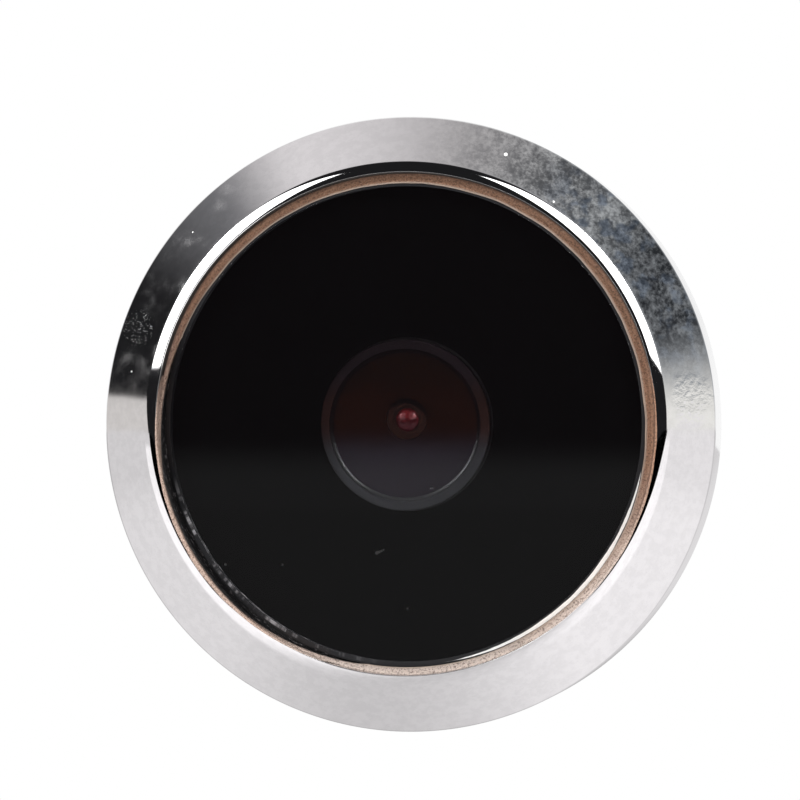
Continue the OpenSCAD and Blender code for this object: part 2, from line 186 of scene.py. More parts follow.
class Bench:
    """Hand tools: each method is a step that a modeller makes in edit mode or with a modifier."""

    @staticmethod
    def clear() -> None:
        """Goes to object mode with nothing selected."""
        if bpy.context.object is not None and bpy.context.object.mode != "OBJECT":
            bpy.ops.object.mode_set(mode="OBJECT")
        bpy.ops.object.select_all(action="DESELECT")

    @staticmethod
    def pick(*pieces: bpy.types.Object) -> None:
        """Selects only these pieces and makes the first one active."""
        Bench.clear()
        for piece in pieces:
            piece.select_set(True)
        bpy.context.view_layer.objects.active = pieces[0]

    @staticmethod
    def named(name: str) -> bpy.types.Object:
        """Names the piece that was just added, and its mesh."""
        piece = bpy.context.object
        piece.name = name
        piece.data.name = name
        return piece

    @staticmethod
    def chain(name: str, outline: Sequence[Point]) -> bpy.types.Object:
        """Draws a chain of edges through an outline, by extruding one vertex from point to point.

        Args:
            name: name of the new piece.
            outline: points as radius and height in millimetres; height runs towards the visitor.

        Returns:
            The piece, left in edit mode with all of it selected.
        """
        Bench.clear()
        bpy.ops.mesh.primitive_plane_add(size=MM)
        piece = Bench.named(name)
        bpy.ops.object.mode_set(mode="EDIT")
        bpy.ops.mesh.select_all(action="SELECT")
        bpy.ops.mesh.merge(type="CENTER")
        bpy.ops.transform.translate(value=(outline[0][0] * MM, -outline[0][1] * MM, 0))
        for (r0, z0), (r1, z1) in zip(outline, outline[1:]):
            step = ((r1 - r0) * MM, (z0 - z1) * MM, 0)
            bpy.ops.mesh.extrude_vertices_move(TRANSFORM_OT_translate={"value": step})
        bpy.ops.mesh.select_all(action="SELECT")
        return piece

    @staticmethod
    def close_up() -> None:
        """Merges doubles and turns the faces outwards, in edit mode."""
        bpy.ops.mesh.select_all(action="SELECT")
        bpy.ops.mesh.remove_doubles(threshold=MERGE)
        bpy.ops.mesh.normals_make_consistent(inside=False)
        bpy.ops.object.mode_set(mode="OBJECT")

    @staticmethod
    def turn(name: str, outline: Sequence[Point], segments: int, closed: bool = True) -> bpy.types.Object:
        """Turns a piece about the barrel's axis, as on a lathe.

        Args:
            name: name of the new piece.
            outline: points as radius and height in millimetres.
            segments: steps round the axis.
            closed: whether the outline is a ring's, so that its last point joins its first.

        Returns:
            The piece in object mode, with its faces outwards.
        """
        points = [*outline, outline[0]] if closed else list(outline)
        piece = Bench.chain(name, points)
        bpy.ops.mesh.remove_doubles(threshold=MERGE)
        bpy.ops.mesh.select_all(action="SELECT")
        bpy.ops.mesh.spin(steps=segments, angle=math.tau, center=(0, 0, 0), axis=(0, 1, 0))
        Bench.close_up()
        return piece

    @staticmethod
    def rod(name: str, radius: float, low: float, high: float, segments: int) -> bpy.types.Object:
        """Turns a plain round rod on the axis, between two heights in millimetres."""
        outline = [(0, low), (radius, low), (radius, high), (0, high)]
        return Bench.turn(name, outline, segments, closed=False)

    @staticmethod
    def block(name: str, low: Sequence[float], high: Sequence[float]) -> bpy.types.Object:
        """Adds a box between two corners in millimetres, in the row frame.

        Args:
            name: name of the new piece.
            low: lowest corner.
            high: highest corner.

        Returns:
            The box with its place in its mesh.
        """
        Bench.clear()
        middle = [(a + b) / 2 * MM for a, b in zip(low, high)]
        bpy.ops.mesh.primitive_cube_add(size=1, location=middle)
        piece = Bench.named(name)
        piece.scale = [(b - a) * MM for a, b in zip(low, high)]
        bpy.ops.object.transform_apply(location=True, rotation=True, scale=True)
        return piece

    @staticmethod
    def ring_of(make: Callable[[], bpy.types.Object], count: int, radius: float) -> bpy.types.Object:
        """Models one piece on the axis and joins copies of it in a ring, the first one on top.

        Args:
            make: gives the piece on the axis.
            count: number of copies.
            radius: radius of the ring in millimetres.

        Returns:
            The joined copies.
        """
        top = 90
        pattern, copies = make(), []
        for i in range(count):
            copy = pattern.copy()
            copy.data = pattern.data.copy()
            bpy.context.collection.objects.link(copy)
            turn = Matrix.Rotation(math.radians(-top - 360 * i / count), 4, "Y")
            copy.data.transform(turn @ Matrix.Translation((radius * MM, 0, 0)))
            copies.append(copy)
        bpy.data.objects.remove(pattern)
        Bench.pick(*copies)
        bpy.ops.object.join()
        return copies[0]

    @staticmethod
    def change(piece: bpy.types.Object, kind: str, **settings: object) -> None:
        """Gives a piece a modifier with these settings and applies it."""
        modifier = piece.modifiers.new(kind.lower(), kind)
        for key, value in settings.items():
            setattr(modifier, key, value)
        Bench.pick(piece)
        bpy.ops.object.modifier_apply(modifier=modifier.name)

    @staticmethod
    def carve(piece: bpy.types.Object, tool: bpy.types.Object, cut: Cut) -> None:
        """Cuts a tool out of a piece, or joins it on, and removes the tool.

        Args:
            piece: piece that changes.
            tool: closed mesh.
            cut: what the tool does.
        """
        Bench.change(piece, "BOOLEAN", operation=cut.value, solver="EXACT", object=tool)
        bpy.data.objects.remove(tool)

    @staticmethod
    def break_edges(piece: bpy.types.Object, width: float) -> None:
        """Rounds the sharp edges of a piece, to a width in millimetres."""
        sharp = math.radians(35)
        Bench.change(piece, "BEVEL", width=width * MM, segments=2, limit_method="ANGLE", angle_limit=sharp)

    @staticmethod
    def tidy(piece: bpy.types.Object) -> None:
        """Merges what a cut left double and turns the faces outwards."""
        Bench.pick(piece)
        bpy.ops.object.mode_set(mode="EDIT")
        Bench.close_up()

    @staticmethod
    def hand_over(
        piece: bpy.types.Object,
        body: Body,
        finish: "Finish",
        nodes: Iterable[str],
        smooth: float = 32.0,
        level: bool = False,
    ) -> None:
        """Shades and dresses a finished piece and puts it on its body.

        Args:
            piece: the finished piece.
            body: body that carries it.
            finish: its finish.
            nodes: CAD nodes that it stands for.
            smooth: faces that meet at less than this angle are shaded as one, in degrees.
            level: whether its large flat faces stay flat in the shading.
        """
        Bench.pick(piece)
        bpy.ops.object.transform_apply(location=True, rotation=True, scale=True)
        bpy.ops.object.shade_smooth_by_angle(angle=math.radians(smooth))
        if level:
            Bench.change(piece, "WEIGHTED_NORMAL", keep_sharp=True)
        if not piece.data.materials:
            piece.data.materials.append(finish.material())
        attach(piece, body.value)
        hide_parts(*nodes)
        LOG.info("%s: %d faces, rides on %s", piece.name, len(piece.data.polygons), body.value)


class Wire:
    """A value that a node puts out. Sums on wires draw the nodes that work them out."""

    def __init__(self, sheet: "NodeSheet", socket: bpy.types.NodeSocket) -> None:
        """Keeps the socket and the sheet that its node is on."""
        self.sheet = sheet
        self.socket = socket

    def __add__(self, other: "Feed") -> "Wire":
        """Adds a value."""
        return self.sheet.math("ADD", self, other)

    def __radd__(self, other: float) -> "Wire":
        """Adds the wire to a number."""
        return self.sheet.math("ADD", other, self)

    def __sub__(self, other: "Feed") -> "Wire":
        """Takes a value away."""
        return self.sheet.math("SUBTRACT", self, other)

    def __rsub__(self, other: float) -> "Wire":
        """Takes the wire away from a number."""
        return self.sheet.math("SUBTRACT", other, self)

    def __mul__(self, other: "Feed") -> "Wire":
        """Multiplies by a value."""
        return self.sheet.math("MULTIPLY", self, other)

    def __truediv__(self, other: "Feed") -> "Wire":
        """Divides by a value."""
        return self.sheet.math("DIVIDE", self, other)

    def __rtruediv__(self, other: float) -> "Wire":
        """Divides a number by the wire."""
        return self.sheet.math("DIVIDE", other, self)

    def __pow__(self, power: float) -> "Wire":
        """Raises to a power."""
        return self.sheet.math("POWER", self, power)

    def __abs__(self) -> "Wire":
        """Drops the sign."""
        return self.sheet.math("ABSOLUTE", self)

    def __lt__(self, other: "Feed") -> "Wire":
        """Gives a mask of where it is smaller than a value."""
        return self.sheet.math("LESS_THAN", self, other)

    def __gt__(self, other: "Feed") -> "Wire":
        """Gives a mask of where it is larger than a value."""
        return self.sheet.math("GREATER_THAN", self, other)

    def __or__(self, other: "Feed") -> "Wire":
        """Gives the larger of two values, so that two masks join."""
        return self.sheet.math("MAXIMUM", self, other)

    def ramp(self, low: float, high: float, start: float = 0.0, end: float = 1.0) -> "Wire":
        """Maps it smoothly from one range to another.

        Args:
            low: value that gives start.
            high: value that gives end.
            start: result at low and on its far side.
            end: result at high and on its far side.

        Returns:
            The mapped value.
        """
        feeds = dict(enumerate((self, low, high, start, end)))
        return self.sheet.draw("ShaderNodeMapRange", feeds, interpolation_type="SMOOTHSTEP")

    def within(self, span: Fade) -> "Wire":
        """Gives a mask of a range that fades in and out again, by four values."""
        a, b, c, d = span
        return self.ramp(a, b) * self.ramp(d, c)

    def blend(self, under: "Feed", over: "Feed") -> "Wire":
        """Mixes two colours, with itself as the share of the second."""
        share, first, second, mixed = 0, 6, 7, 2
        feeds = {share: self, first: under, second: over}
        return self.sheet.draw("ShaderNodeMix", feeds, mixed, data_type="RGBA")


class NodeSheet:
    """Draws nodes in one tree, with short calls for the common ones."""

    def __init__(self, tree: bpy.types.NodeTree) -> None:
        """Keeps the tree that the nodes go into."""
        self.tree = tree

    @classmethod
    def fresh(cls, owner: Union[bpy.types.Material, bpy.types.World]) -> "NodeSheet":
        """Empties the tree of a material or of the world, and gives a sheet for it."""
        owner.use_nodes = True
        owner.node_tree.nodes.clear()
        return cls(owner.node_tree)

    def add(self, kind: str, **settings: object) -> bpy.types.Node:
        """Adds a node and sets its properties."""
        node = self.tree.nodes.new(kind)
        for key, value in settings.items():
            setattr(node, key, value)
        return node

    def feed(self, socket: bpy.types.NodeSocket, value: Feed) -> None:
        """Links a wire into a socket, or sets the socket's value."""
        if isinstance(value, Wire):
            self.tree.links.new(value.socket, socket)
        elif hasattr(value, "__len__") and socket.type == "RGBA" and len(value) == 3:
            socket.default_value = (*value, 1.0)
        else:
            socket.default_value = value

    def feed_all(self, sockets: Sockets, feeds: dict[Key, Feed]) -> None:
        """Feeds several sockets, each by its name or number."""
        for key, value in feeds.items():
            self.feed(sockets[key], value)

    def draw(self, kind: str, feeds: dict[Key, Feed], output: Key = 0, **settings: object) -> Wire:
        """Adds a node, feeds its inputs and gives one of its outputs.

        Args:
            kind: kind of node.
            feeds: what goes into its inputs, by their names or numbers.
            output: name or number of the output.
            settings: its properties.

        Returns:
            The output.
        """
        node = self.add(kind, **settings)
        self.feed_all(node.inputs, feeds)
        return Wire(self, node.outputs[output])

    def outputs(self, node: bpy.types.Node) -> list[Wire]:
        """Gives all outputs of a node in order."""
        return [Wire(self, socket) for socket in node.outputs]

    def math(self, operation: str, first: Feed, second: Feed = 0.0) -> Wire:
        """Gives the result of one sum on two values."""
        return self.draw("ShaderNodeMath", {0: first, 1: second}, operation=operation)

    def hypot(self, first: Wire, second: Wire) -> Wire:
        """Gives the length of a vector from two sides at a right angle."""
        return self.math("SQRT", first**2 + second**2)

    def bearing(self, across: Wire, up: Wire) -> Wire:
        """Gives a direction's turn in degrees, from across towards up."""
        return self.math("DEGREES", self.math("ARCTAN2", up, across))

    def split(self, joined: Feed, kind: str = "ShaderNodeSeparateXYZ") -> list[Wire]:
        """Gives the three parts of a vector or of a colour."""
        node = self.add(kind)
        self.feed(node.inputs[0], joined)
        return self.outputs(node)

    def place(self) -> Wire:
        """Gives the place on the piece, in metres of the row frame."""
        return self.draw("ShaderNodeTexCoord", {}, "Object")

    def mark(self, name: str) -> Wire:
        """Gives a value that the mesh holds at its vertices."""
        return self.draw("ShaderNodeAttribute", {}, "Fac", attribute_name=name)

    def ray(self, kind: str) -> Wire:
        """Gives a mask of one kind of light ray."""
        return self.draw("ShaderNodeLightPath", {}, kind)

    def noise(self, vector: Feed, size: Feed, detail: float = 3.0, roughness: float = 0.55) -> Wire:
        """Gives a noise value between 0 and 1.

        Args:
            vector: place on the surface.
            size: size of a cell in millimetres.
            detail: number of finer layers.
            roughness: strength of the finer layers.

        Returns:
            The noise value.
        """
        feeds = {"Vector": vector, "Scale": 1 / MM / size, "Detail": detail, "Roughness": roughness}
        return self.draw("ShaderNodeTexNoise", feeds)

    def cells(self, size: Feed) -> list[Wire]:
        """Gives the distance and colour of scattered cells, whose size is in millimetres."""
        node = self.add("ShaderNodeTexVoronoi")
        self.feed_all(node.inputs, {"Vector": self.place(), "Scale": 1 / MM / size})
        return self.outputs(node)[:2]

    def stretched(self, vector: Feed, scale: Sequence[float], turn: Sequence[float]) -> Wire:
        """Turns a place by angles in degrees, then scales it."""
        angles = [math.radians(a) for a in turn]
        return self.draw("ShaderNodeMapping", {"Vector": vector, "Rotation": angles, "Scale": scale})

    def spots(self, spots: Sequence[Spot]) -> Wire:
        """Gives a mask of round spots on a face that the visitor sees.

        Args:
            spots: x, z and radius of each spot in millimetres.

        Returns:
            The mask.
        """
        solid = 0.4
        across, _, up = self.split(self.place())
        masks = []
        for x, z, size in spots:
            away = self.hypot(across - x * MM, up - z * MM)
            masks.append(away.ramp(size * MM, solid * size * MM))
        return reduce(or_, masks)

    def bump(self, height: Feed, depth: float) -> Wire:
        """Gives the normal of a surface raised by height times depth, in millimetres."""
        return self.draw("ShaderNodeBump", {"Strength": 1.0, "Distance": depth * MM, "Height": height})

    def mix_shaders(self, share: Wire, first: Wire, second: Wire) -> Wire:
        """Mixes two shaders by the share of the second."""
        return self.draw("ShaderNodeMixShader", {0: share, 1: first, 2: second})

    def group(self, tree: bpy.types.NodeTree, **values: Feed) -> list[Wire]:
        """Places a shared effect, with its own values by the inputs' names, and gives its outputs."""
        node = self.add("ShaderNodeGroup", node_tree=tree)
        self.feed_all(node.inputs, {name.title(): value for name, value in values.items()})
        return self.outputs(node)

    def given(self) -> list[Wire]:
        """Gives the inputs of the shared effect that this sheet draws, without the empty last one."""
        return self.outputs(self.add("NodeGroupInput"))[:-1]


class SharedEffects:
    """Node groups that several finishes use. Each is built once."""

    @staticmethod
    def start(
        name: str, inputs: Sequence[tuple[str, float]], outputs: Sequence[str]
    ) -> tuple[Optional[NodeSheet], bpy.types.NodeTree]:
        """Finds a group or makes it with its sockets.

        Args:
            name: name of the group.
            inputs: names and usual values of the inputs.
            outputs: names of the outputs.

        Returns:
            A sheet to draw the group on, or None where it is drawn already, and the group.
        """
        found = bpy.data.node_groups.get(name)
        if found is not None:
            return None, found
        tree = bpy.data.node_groups.new(name, "ShaderNodeTree")
        for label, usual in inputs:
            socket = tree.interface.new_socket(label, in_out="INPUT", socket_type="NodeSocketFloat")
            socket.default_value = usual
        for label in outputs:
            tree.interface.new_socket(label, in_out="OUTPUT", socket_type="NodeSocketFloat")
        return NodeSheet(tree), tree

    @staticmethod
    def put_out(sheet: NodeSheet, *values: Wire) -> bpy.types.NodeTree:
        """Links values to the group's outputs in order, and gives the finished group."""
        end = sheet.add("NodeGroupOutput")
        sheet.feed_all(end.inputs, dict(enumerate(values)))
        return sheet.tree

    @classmethod
    def round_axis(cls) -> bpy.types.NodeTree:
        """Radius and height in millimetres, and the turn from +X towards +Z in degrees."""
        sheet, tree = cls.start("round_axis", [], ["Radius", "Height", "Turn"])
        if sheet is None:
            return tree
        x, y, z = sheet.split(sheet.place())
        return cls.put_out(sheet, sheet.hypot(x, z) * (1 / MM), y * (-1 / MM), sheet.bearing(x, z))

    @classmethod
    def turning_marks(cls) -> bpy.types.NodeTree:
        """Fine marks round the axis, as a lathe or a polishing wheel leaves them."""
        sheet, tree = cls.start("turning_marks", [("Fineness", 12.0), ("Length", 3.0)], ["Marks"])
        if sheet is None:
            return tree
        fineness, length = sheet.given()
        radius, height, turn = sheet.group(cls.round_axis())
        angle = sheet.math("RADIANS", turn)
        reach = 30.0 / length
        feeds = {
            "X": sheet.math("COSINE", angle) * reach,
            "Y": sheet.math("SINE", angle) * reach,
            "Z": radius * fineness + height * fineness,
        }
        rows = sheet.draw("ShaderNodeCombineXYZ", feeds)
        return cls.put_out(sheet, sheet.noise(rows, 1 / MM, 4.0, 0.65))

    @classmethod
    def handling(cls) -> bpy.types.NodeTree:
        """Blotchy marks of hands: large patches broken up by small specks."""
        inputs = [("Patch", 4.0), ("Speck", 0.5), ("Amount", 0.5)]
        sheet, tree = cls.start("handling", inputs, ["Smudge"])
        if sheet is None:
            return tree
        patch, speck, amount = sheet.given()
        place = sheet.place()
        mixed = sheet.noise(place, patch, 2.0) * 0.5 + sheet.noise(place, speck, 4.0, 0.7) * 0.5
        return cls.put_out(sheet, (mixed + amount * 0.3).ramp(0.58, 0.74))

    @classmethod
    def hairlines(cls) -> bpy.types.NodeTree:
        """Thin straight scratches in three directions."""
        sheet, tree = cls.start("hairlines", [("Width", 0.05), ("Amount", 0.5)], ["Scratch"])
        if sheet is None:
            return tree
        width, amount = sheet.given()
        place = sheet.place()
        edge = 0.86 - amount * 0.2
        stretch = (0.02, 0.3, 0.3)
        turns = ((12, 31, 40), (70, -25, 8), (-35, 64, 22))
        lines = [sheet.noise(sheet.stretched(place, stretch, turn), width, 1.0) for turn in turns]
        return cls.put_out(sheet, reduce(or_, [line > edge for line in lines]))

    @classmethod
    def dust(cls) -> bpy.types.NodeTree:
        """Scattered specks of dust, most cells left clean."""
        sheet, tree = cls.start("dust", [("Spacing", 1.0), ("Amount", 0.2)], ["Dust"])
        if sheet is None:
            return tree
        spacing, amount = sheet.given()
        distance, colour = sheet.cells(spacing)
        share, size, _ = sheet.split(colour, "ShaderNodeSeparateColor")
        return cls.put_out(sheet, (share < amount) * (distance < size * 0.1 + 0.02))

    @classmethod
    def mould_grain(cls) -> bpy.types.NodeTree:
        """Fine grain of a moulded or cast surface, and slow mottling under it."""
        sheet, tree = cls.start("mould_grain", [("Grain", 0.15)], ["Grain", "Mottle"])
        if sheet is None:
            return tree
        (size,) = sheet.given()
        place = sheet.place()
        grain_share = 0.06
        grain = sheet.noise(place, size, 3.0, 0.6)
        return cls.put_out(sheet, grain, sheet.noise(place, size / grain_share, 3.0, 0.6))


def tinted(colour: Colour, times: float, plus: float = 0.0) -> Colour:
    """Makes a colour lighter or darker, up to white."""
    return tuple(min(1.0, times * c + plus) for c in colour)


@dataclass(frozen=True)
class Finish:
    """The look of one material slot.

    Attributes:
        slot: name of the record's material slot.
    """

    slot: str

    def material(self) -> bpy.types.Material:
        """Makes the finish's material once, and gives the same one after that."""
        name = f"finish_{self.slot}"
        found = bpy.data.materials.get(name)
        if found is not None:
            return found
        made = bpy.data.materials.new(name)
        sheet = NodeSheet.fresh(made)
        shader = sheet.add("ShaderNodeBsdfPrincipled")
        self.dress(sheet, shader.inputs)
        end = sheet.add("ShaderNodeOutputMaterial")
        sheet.feed(end.inputs["Surface"], self.surface(Wire(sheet, shader.outputs[0])))
        return made

    def dress(self, sheet: NodeSheet, skin: Sockets) -> None:
        """Draws the finish.

        Args:
            sheet: sheet of the material's tree.
            skin: inputs of its Principled shader.
        """
        raise NotImplementedError

    def surface(self, shader: Wire) -> Wire:
        """Gives what light meets: the Principled shader, where a finish lays nothing round it."""
        return shader


@dataclass(frozen=True)
class ChromeFinish(Finish):
    """Polished chrome, stained by hands at the upper right, with fine marks, nicks, a scuff and painted
    shade along its inner edge.

    Attributes:
        colour: reflection of clean chrome.
        stain: reflection of the stain near the right, where it is thick and where it is thin.
        upper_sheen: reflection of the stain near the top, where it is thick and where it is thin, paler
            than near the right as a painted sheen of light scattered in the film.
        bloom: reflection of the stain's bluish patches, where it is thick and where it is thin.
        bare: colour of the nicks and of specks of dust.
        edge_shade: colour of the painted shade on the inner edge.
        edge_shade_r: radius in millimetres that the painted shade reaches out to.
        polish: roughness where it is clean.
        clouded: roughness added by the cloudy film at the upper left.
        stain_turn: turn round the axis over which the stain fades in and out again, in degrees.
        cloud_turn: the same for the cloudy film.
        unshaded_turn: the same for the part of the inner edge that has no painted shade.
        face_r: radii in millimetres between which the lip turns into the bevelled face.
        wall_r: radii between which the bevelled face turns into the side wall.
        nicks: small bright nicks as x, z and radius in millimetres.
        scuff: scuffed patch as x, z and radius in millimetres.
        crinkle: patch where the plating is crinkled, as x, z and radius in millimetres.
    """

    colour: Colour = (0.86, 0.852, 0.858)
    stain: tuple[Colour, Colour] = ((0.055, 0.057, 0.062), (0.56, 0.56, 0.565))
    upper_sheen: tuple[Colour, Colour] = ((0.18, 0.18, 0.184), (1.0, 0.985, 0.965))
    bloom: tuple[Colour, Colour] = ((0.09, 0.105, 0.132), (0.5, 0.54, 0.61))
    bare: Colour = (0.9, 0.9, 0.88)
    edge_shade: Colour = (0.02, 0.016, 0.014)
    edge_shade_r: float = 20.38
    polish: float = 0.055
    clouded: float = 0.15
    stain_turn: Fade = (5, 22, 56, 92)
    cloud_turn: Fade = (108, 130, 166, 176)
    unshaded_turn: Fade = (-145, -125, -45, -25)
    face_r: Point = (21.2, 21.4)
    wall_r: Point = (24.85, 24.98)
    nicks: tuple[Spot, ...] = ((8.1, 21.8, 0.2), (12.1, 17.9, 0.12), (-22.6, 4.3, 0.08))
    scuff: Spot = (-22.1, 7.9, 2.2)
    crinkle: Spot = (22.9, 2.1, 2.6)

    def dress(self, sheet: NodeSheet, skin: Sockets) -> None:
        """Draws the chrome, its stain and cloud by place round the axis, its marks, its nicks and the
        painted shade on its inner edge.
        """
        radius, _, turn = sheet.group(SharedEffects.round_axis())
        place = sheet.place()
        on_face = radius.ramp(*self.face_r)
        stained = turn.within(self.stain_turn) * on_face * radius.ramp(*self.wall_r, 1.0, 0.3)
        tone = self.stain_tone(sheet, turn)
        cloud = sheet.noise(place, 2.0, 3.0).ramp(0.42, 0.78) * (turn.within(self.cloud_turn) * on_face)
        (marks,) = sheet.group(SharedEffects.turning_marks(), fineness=5.0, length=1.2)
        (scratch,) = sheet.group(SharedEffects.hairlines(), width=0.035, amount=0.75)
        scratch = scratch * sheet.spots((self.scuff,))
        (speck,) = sheet.group(SharedEffects.dust(), spacing=1.1, amount=0.012)
        speck = speck * on_face | sheet.spots(self.nicks)
        colour = marks.ramp(0.62, 0.38).blend(self.colour, tinted(self.colour, 0.94))
        colour = speck.blend(stained.blend(colour, tone), self.bare)
        # Painted shade: a dark, rough, non-metallic strip along the lip's inner edge, left out over the
        # stretch at the bottom.
        dirt_and_shade = radius.ramp(self.edge_shade_r + 0.04, self.edge_shade_r) * (1.0 - turn.within(self.unshaded_turn))
        rough = cloud * self.clouded + self.polish + marks * 0.04 + stained * 0.05
        rough = rough * radius.ramp(21.1, 21.4, 0.4, 1.0) + speck * 0.5 + dirt_and_shade.ramp(0.85, 1.0, 0.0, 0.7)
        crinkled = sheet.noise(place, 0.5, 2.0) * sheet.spots((self.crinkle,)) * radius.ramp(21.5, 22.3)
        wave = sheet.noise(place, 6.25, 2.0)
        height = wave * 0.01 + marks * 0.0005 + scratch * 0.002 + crinkled * 0.045
        feeds = {
            "Base Color": dirt_and_shade.blend(colour, self.edge_shade),
            "Metallic": 1.0 - (speck | dirt_and_shade),
            "Roughness": rough,
            "Normal": sheet.bump(height, 1.0),
        }
        sheet.feed_all(skin, feeds)

    def stain_tone(self, sheet: NodeSheet, turn: Wire) -> Wire:
        """Gives the stain's colour: crumbs of thick and thin film, paler near the top as a painted sheen,
        with bluish patches.

        Args:
            sheet: sheet of the material's tree.
            turn: turn round the axis in degrees.

        Returns:
            The colour.
        """
        place = sheet.place()
        crumbs = sheet.noise(place, 0.32, 4.0, 0.66)
        patch = sheet.noise(place, 1.1, 3.0) + sheet.noise(place, 2.4, 2.0)
        thin = (crumbs * 0.8 + patch * 0.55).ramp(0.76, 1.24)
        # Painted sheen: towards the top the stain takes the paler tones, standing for light scattered in
        # its film.
        upper = turn.ramp(33, 46)
        thick_tone, thin_tone = (upper.blend(right, top) for right, top in zip(self.stain, self.upper_sheen))
        bloom = sheet.noise(place, 1.5, 2.0).ramp(0.46, 0.62) * turn.ramp(64, 50)
        return bloom.blend(thin.blend(thick_tone, thin_tone), thin.blend(*self.bloom))


@dataclass(frozen=True)
class PlatedFinish(Finish):
    """Plated or bare steel with turning marks, stains in its recesses, and bright edges that are wear with
    a painted highlight.

    Attributes:
        colour: reflection of the clean metal.
        stain: reflection where it is stained.
        polish: roughness where it is clean.
        groove_r: radius in millimetres below which stains gather, 0 for none.
        marks: depth of the turning marks in millimetres.
    """

    colour: Colour = (0.7, 0.68, 0.63)
    stain: Colour = (0.4, 0.36, 0.3)
    polish: float = 0.22
    groove_r: float = 0.0
    marks: float = 0.006

    def dress(self, sheet: NodeSheet, skin: Sockets) -> None:
        """Draws the metal, its stains and its marks."""
        (marks,) = sheet.group(SharedEffects.turning_marks(), fineness=14.0, length=2.0)
        (smudge,) = sheet.group(SharedEffects.handling(), patch=3.0, speck=0.4, amount=0.25)
        (scratch,) = sheet.group(SharedEffects.hairlines(), width=0.05, amount=0.55)
        # Sharp edges lighter and smoother: wear, and a painted highlight along them.
        edge_wear_and_highlight = sheet.draw("ShaderNodeNewGeometry", {}, "Pointiness").ramp(0.53, 0.6)
        stain = smudge * 0.55
        if self.groove_r > 0:
            radius, _, _ = sheet.group(SharedEffects.round_axis())
            low = radius.ramp(self.groove_r + 0.25, self.groove_r)
            stain = stain | low * sheet.noise(sheet.place(), 1 / 0.9).ramp(0.3, 0.6)
        colour = stain.blend(self.colour, self.stain)
        feeds = {
            "Base Color": (edge_wear_and_highlight * 0.6).blend(colour, tinted(self.colour, 1.25)),
            "Metallic": 1.0,
            "Roughness": marks * 0.14 + self.polish + stain * 0.25 - edge_wear_and_highlight * 0.08,
            "Normal": sheet.bump(marks - scratch * 0.5, self.marks),
        }
        sheet.feed_all(skin, feeds)


@dataclass(frozen=True)
class GlassFinish(Finish):
    """Polished glass that lamps shine through, with a little smear and a few specks.

    Attributes:
        tint: colour of light that has passed through it.
        polish: roughness where it is clean.
        specks: dirty specks as x, z and radius in millimetres.
        dirt_and_shade: colour of the specks.
    """

    tint: Colour
    polish: float = 0.004
    specks: tuple[Spot, ...] = ()
    dirt_and_shade: Colour = (0.6, 0.59, 0.57)

    def dress(self, sheet: NodeSheet, skin: Sockets) -> None:
        """Draws the glass, its smear and its specks."""
        (smear,) = sheet.group(SharedEffects.handling(), patch=6.0, speck=1.2, amount=0.1)
        colour: Feed = self.tint
        rough = smear * 0.02 + self.polish
        if self.specks:
            speck = sheet.spots(self.specks)
            colour = speck.blend(self.tint, self.dirt_and_shade)
            rough = rough + speck * 0.7
        feeds = {
            "Base Color": colour,
            "Roughness": rough,
            "Metallic": 0.0,
            "Transmission Weight": 1.0,
            "IOR": 1.5,
        }
        sheet.feed_all(skin, feeds)

    def surface(self, shader: Wire) -> Wire:
        """Lets lamps through the glass, with its tint."""
        sheet = shader.sheet
        clear = sheet.draw("ShaderNodeBsdfTransparent", {"Color": self.tint})
        return sheet.mix_shaders(sheet.ray("Is Shadow Ray"), shader, clear)


@dataclass(frozen=True)
class GroundGlassFinish(Finish):
    """The window's ground edge: dark glass, painted white at the lower right as a reflection of the pale
    floor, and chipped at the lower left.

    Attributes:
        colour: colour of the ground glass.
        painted_shade: its colour at the left, where it lies in painted shade.
        floor_reflection: colour of the painted reflection of the pale floor.
        chip: colour of the chips.
        chip_turn: turn round the axis over which the chips fade in and out again, in degrees.
    """

    colour: Colour = (0.024, 0.024, 0.026)
    painted_shade: Colour = (0.007, 0.007, 0.008)
    floor_reflection: Colour = (0.95, 0.94, 0.92)
    chip: Colour = (0.3, 0.29, 0.3)
    chip_turn: Fade = (-168, -155, -120, -92)

    def dress(self, sheet: NodeSheet, skin: Sockets) -> None:
        """Draws the dark edge, its painted reflection of the floor and its chips."""
        _, mottle = sheet.group(SharedEffects.mould_grain(), grain=0.15)
        _, _, turn = sheet.group(SharedEffects.round_axis())
        (marks,) = sheet.group(SharedEffects.turning_marks(), fineness=9.0, length=1.5)
        rim = sheet.mark("rim")
        # Painted reflection: a white crescent at the lower right, where the edge faces the pale floor.
        along = (turn + 45.0) / 35.0
        width = (1.0 - along**2.0) * 0.42
        reflection_share = (width - abs(rim - 0.66) + (mottle - 0.5) * 0.4).ramp(0.0, 0.08)
        chipped = turn.within(self.chip_turn) * rim.ramp(0.75, 0.55)
        # Painted shade: darker at the left.
        colour = abs(turn).ramp(148, 168).blend(self.colour, self.painted_shade)
        colour = (chipped * marks.ramp(0.48, 0.66)).blend(colour, self.chip)
        feeds = {
            "Base Color": reflection_share.blend(colour, self.floor_reflection),
            "Roughness": mottle.ramp(0.3, 0.7, 0.3, 0.4),
            "Specular IOR Level": 0.12,
        }
        sheet.feed_all(skin, feeds)


